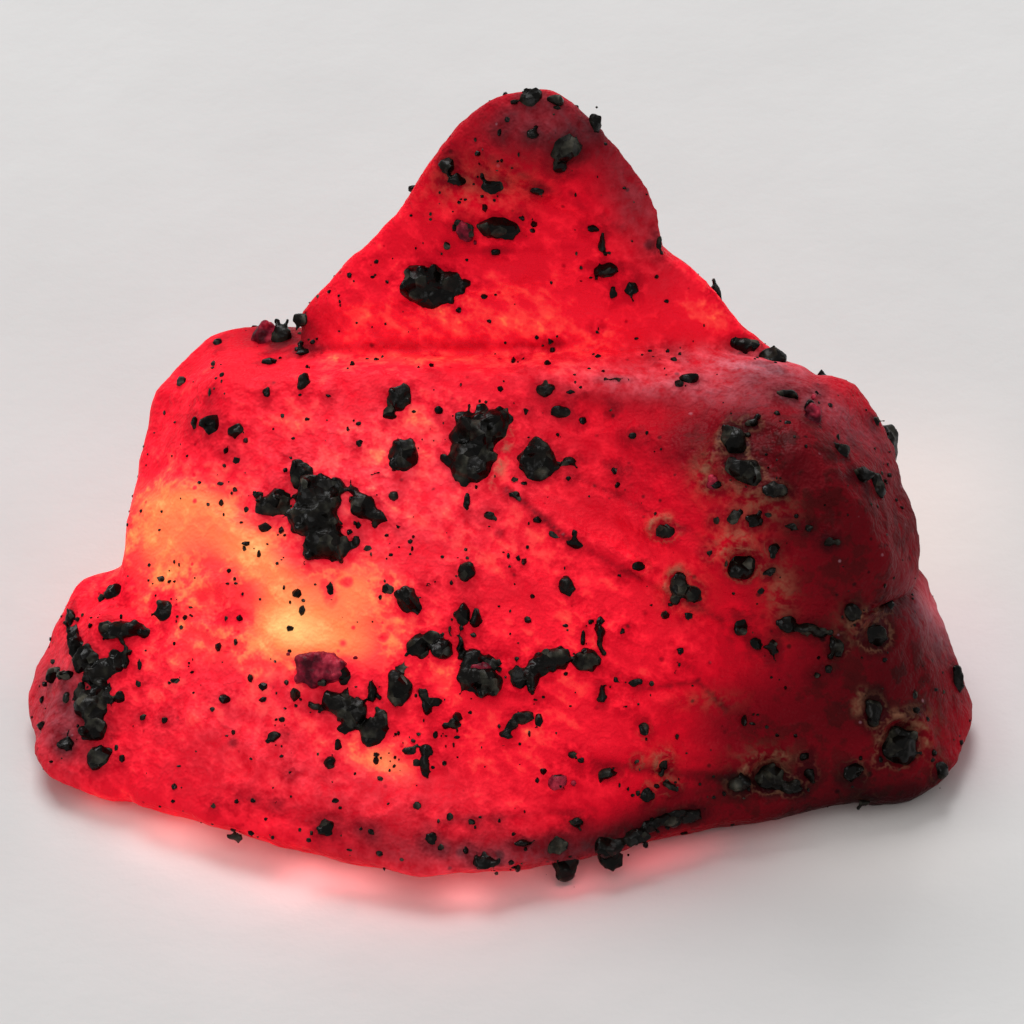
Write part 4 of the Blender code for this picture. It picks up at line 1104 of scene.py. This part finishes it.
def black_mineral():
    """The black grains: nearly black facets, some of them grey-green or brown, the palest of them partly
    painted highlights, dull to glossy.
    """
    made, place = new_material("black_mineral")
    relief, chance = facets(place, FACET_SIZE, FACET_SLOPE)
    patch = grain_noise(place, *PATCH)
    tone = calculate("MULTIPLY_ADD", chance, FACET_TONE, times(patch, PATCH_TONE))
    return set_surface(made, {
        "Base Color": colour_ramp(tone, BLACK_STOPS),
        "Roughness": spread(chance, *FACET_TO_ROUGHNESS),
        "Specular IOR Level": BLACK_SHEEN,
        "Normal": bumped(calculate("MULTIPLY_ADD", patch, PATCH_RELIEF, relief)),
    })


def paper():
    """Plain pale paper for the floor."""
    made, place = new_material("paper")
    return set_surface(made, {
        "Base Color": colour_ramp(grain_noise(place, *PAPER_CLOUD), PAPER_STOPS),
        "Roughness": PAPER_ROUGHNESS,
        "Specular IOR Level": PAPER_SHEEN,
        "Normal": bumped(grain_noise(place, *PAPER_GRIT), PAPER_RELIEF),
    })


def add_floor():
    mesh = bpy.data.meshes.new("floor")
    corners = [(x * FLOOR_REACH, y * FLOOR_REACH, 0.0) for x, y in ((-1, -1), (1, -1), (1, 1), (-1, 1))]
    mesh.from_pydata(corners, [], [(0, 1, 2, 3)])
    made = add_object("floor", mesh)
    made.data.materials.append(paper())
    return made


def add_light(name, azimuth, elevation, distance, width, power):
    """A soft square light that looks at the stone. Azimuth 0 is in front and 90 on the right."""
    light = bpy.data.lights.new(name, "AREA")
    light.size = width
    light.energy = power
    turn, rise = math.radians(azimuth), math.radians(elevation)
    away = Vector((math.sin(turn) * math.cos(rise), -math.cos(turn) * math.cos(rise), math.sin(rise)))
    made = add_object(name, light)
    made.location = away * distance
    made.rotation_euler = away.to_track_quat("Z", "Y").to_euler()
    return made


def add_through_light(name, middle, width, depth, turn, power, colour, floor_alone):
    """A patch of light by the stone's foot, which falls on the floor alone."""
    light = bpy.data.lights.new(name, "AREA")
    light.shape = "RECTANGLE"
    light.size = width * MM
    light.size_y = depth * MM
    light.energy = power
    light.color = colour
    made = add_object(name, light)
    made.location = Vector(middle) * MM
    made.rotation_euler = (0.0, 0.0, math.radians(turn))
    made.visible_camera = False
    made.light_linking.receiver_collection = floor_alone
    made.light_linking.blocker_collection = floor_alone


def collection_of(name, pieces):
    made = bpy.data.collections.new(name)
    for piece in pieces:
        made.objects.link(piece)
    return made


def add_world():
    world = bpy.data.worlds.new("studio")
    world.use_nodes = True
    sky = world.node_tree.nodes["Background"]
    feed(sky, {"Color": SKY_COLOUR, "Strength": SKY_STRENGTH})
    bpy.context.scene.world = world


def add_camera():
    """The camera, square to the broad face."""
    data = bpy.data.cameras.new("camera")
    data.sensor_width = SENSOR_WIDTH
    data.lens = SENSOR_WIDTH * EYE_DISTANCE / VIEW_WIDTH
    data.clip_start = CLIP_START
    made = add_object("camera", data)
    axes = Matrix((ACROSS_FACE, UP_FACE, OUT_OF_FACE)).transposed().to_4x4()
    place = Matrix.Translation((EYE - Vector((0, BACK_SHIFT, 0))) * MM)
    made.matrix_world = place @ axes
    bpy.context.scene.camera = made


def finish_piece(made, slot, material, *nodes):
    """Brings a drawn piece to the frame's place and its metres, on the part's one body."""
    made.data.transform(Matrix.Scale(MM, 4) @ Matrix.Translation((0, -BACK_SHIFT, 0)))
    made.data.materials.clear()
    made.data.materials.append(material)
    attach(made, "root")
    if nodes:
        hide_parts(*nodes)


def dress_stone():
    """All the pieces of the stone, in the frame."""
    body = grow_lobes()
    roughen(body)
    mark_zones(body)
    skin = BVHTree.FromPolygons(
        [vertex.co for vertex in body.data.vertices], [item.vertices for item in body.data.polygons]
    )
    dice = random.Random(SEED)
    shapes = [chunk_shape(dice) for _ in range(CHUNK_SHAPES)]
    grains = melt_grains("front_grains", front_grains(skin, FRONT_GRAINS, shapes, dice))
    darker = melt_grains("dark_ruby_grains", front_grains(skin, DARK_GRAINS, shapes, dice))
    others = melt_grains("back_grains", back_grains(skin, shapes, dice))
    fine = add_object("black_specks", mesh_of("black_specks", specks(body, shapes, dice)))
    cut_base(body)
    body.data.shade_smooth()
    finish_piece(body, "ruby", ruby(), "ruby_crystal")
    finish_piece(darker, "ruby", dark_ruby())
    mineral = black_mineral()
    for piece in (grains, others, fine):
        finish_piece(piece, "black_grains", mineral)
    return body, grains, darker, others, fine


def main():
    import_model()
    stone_alone = collection_of("stone_alone", dress_stone())
    floor_alone = collection_of("floor_alone", [add_floor()])
    add_world()
    add_light(*KEY_LIGHT)
    add_light(*FILL_LIGHT).light_linking.receiver_collection = stone_alone
    for light in THROUGH_LIGHTS:
        add_through_light(*light, floor_alone)
    add_camera()
    bpy.context.scene.view_settings.view_transform = "Standard"


main()
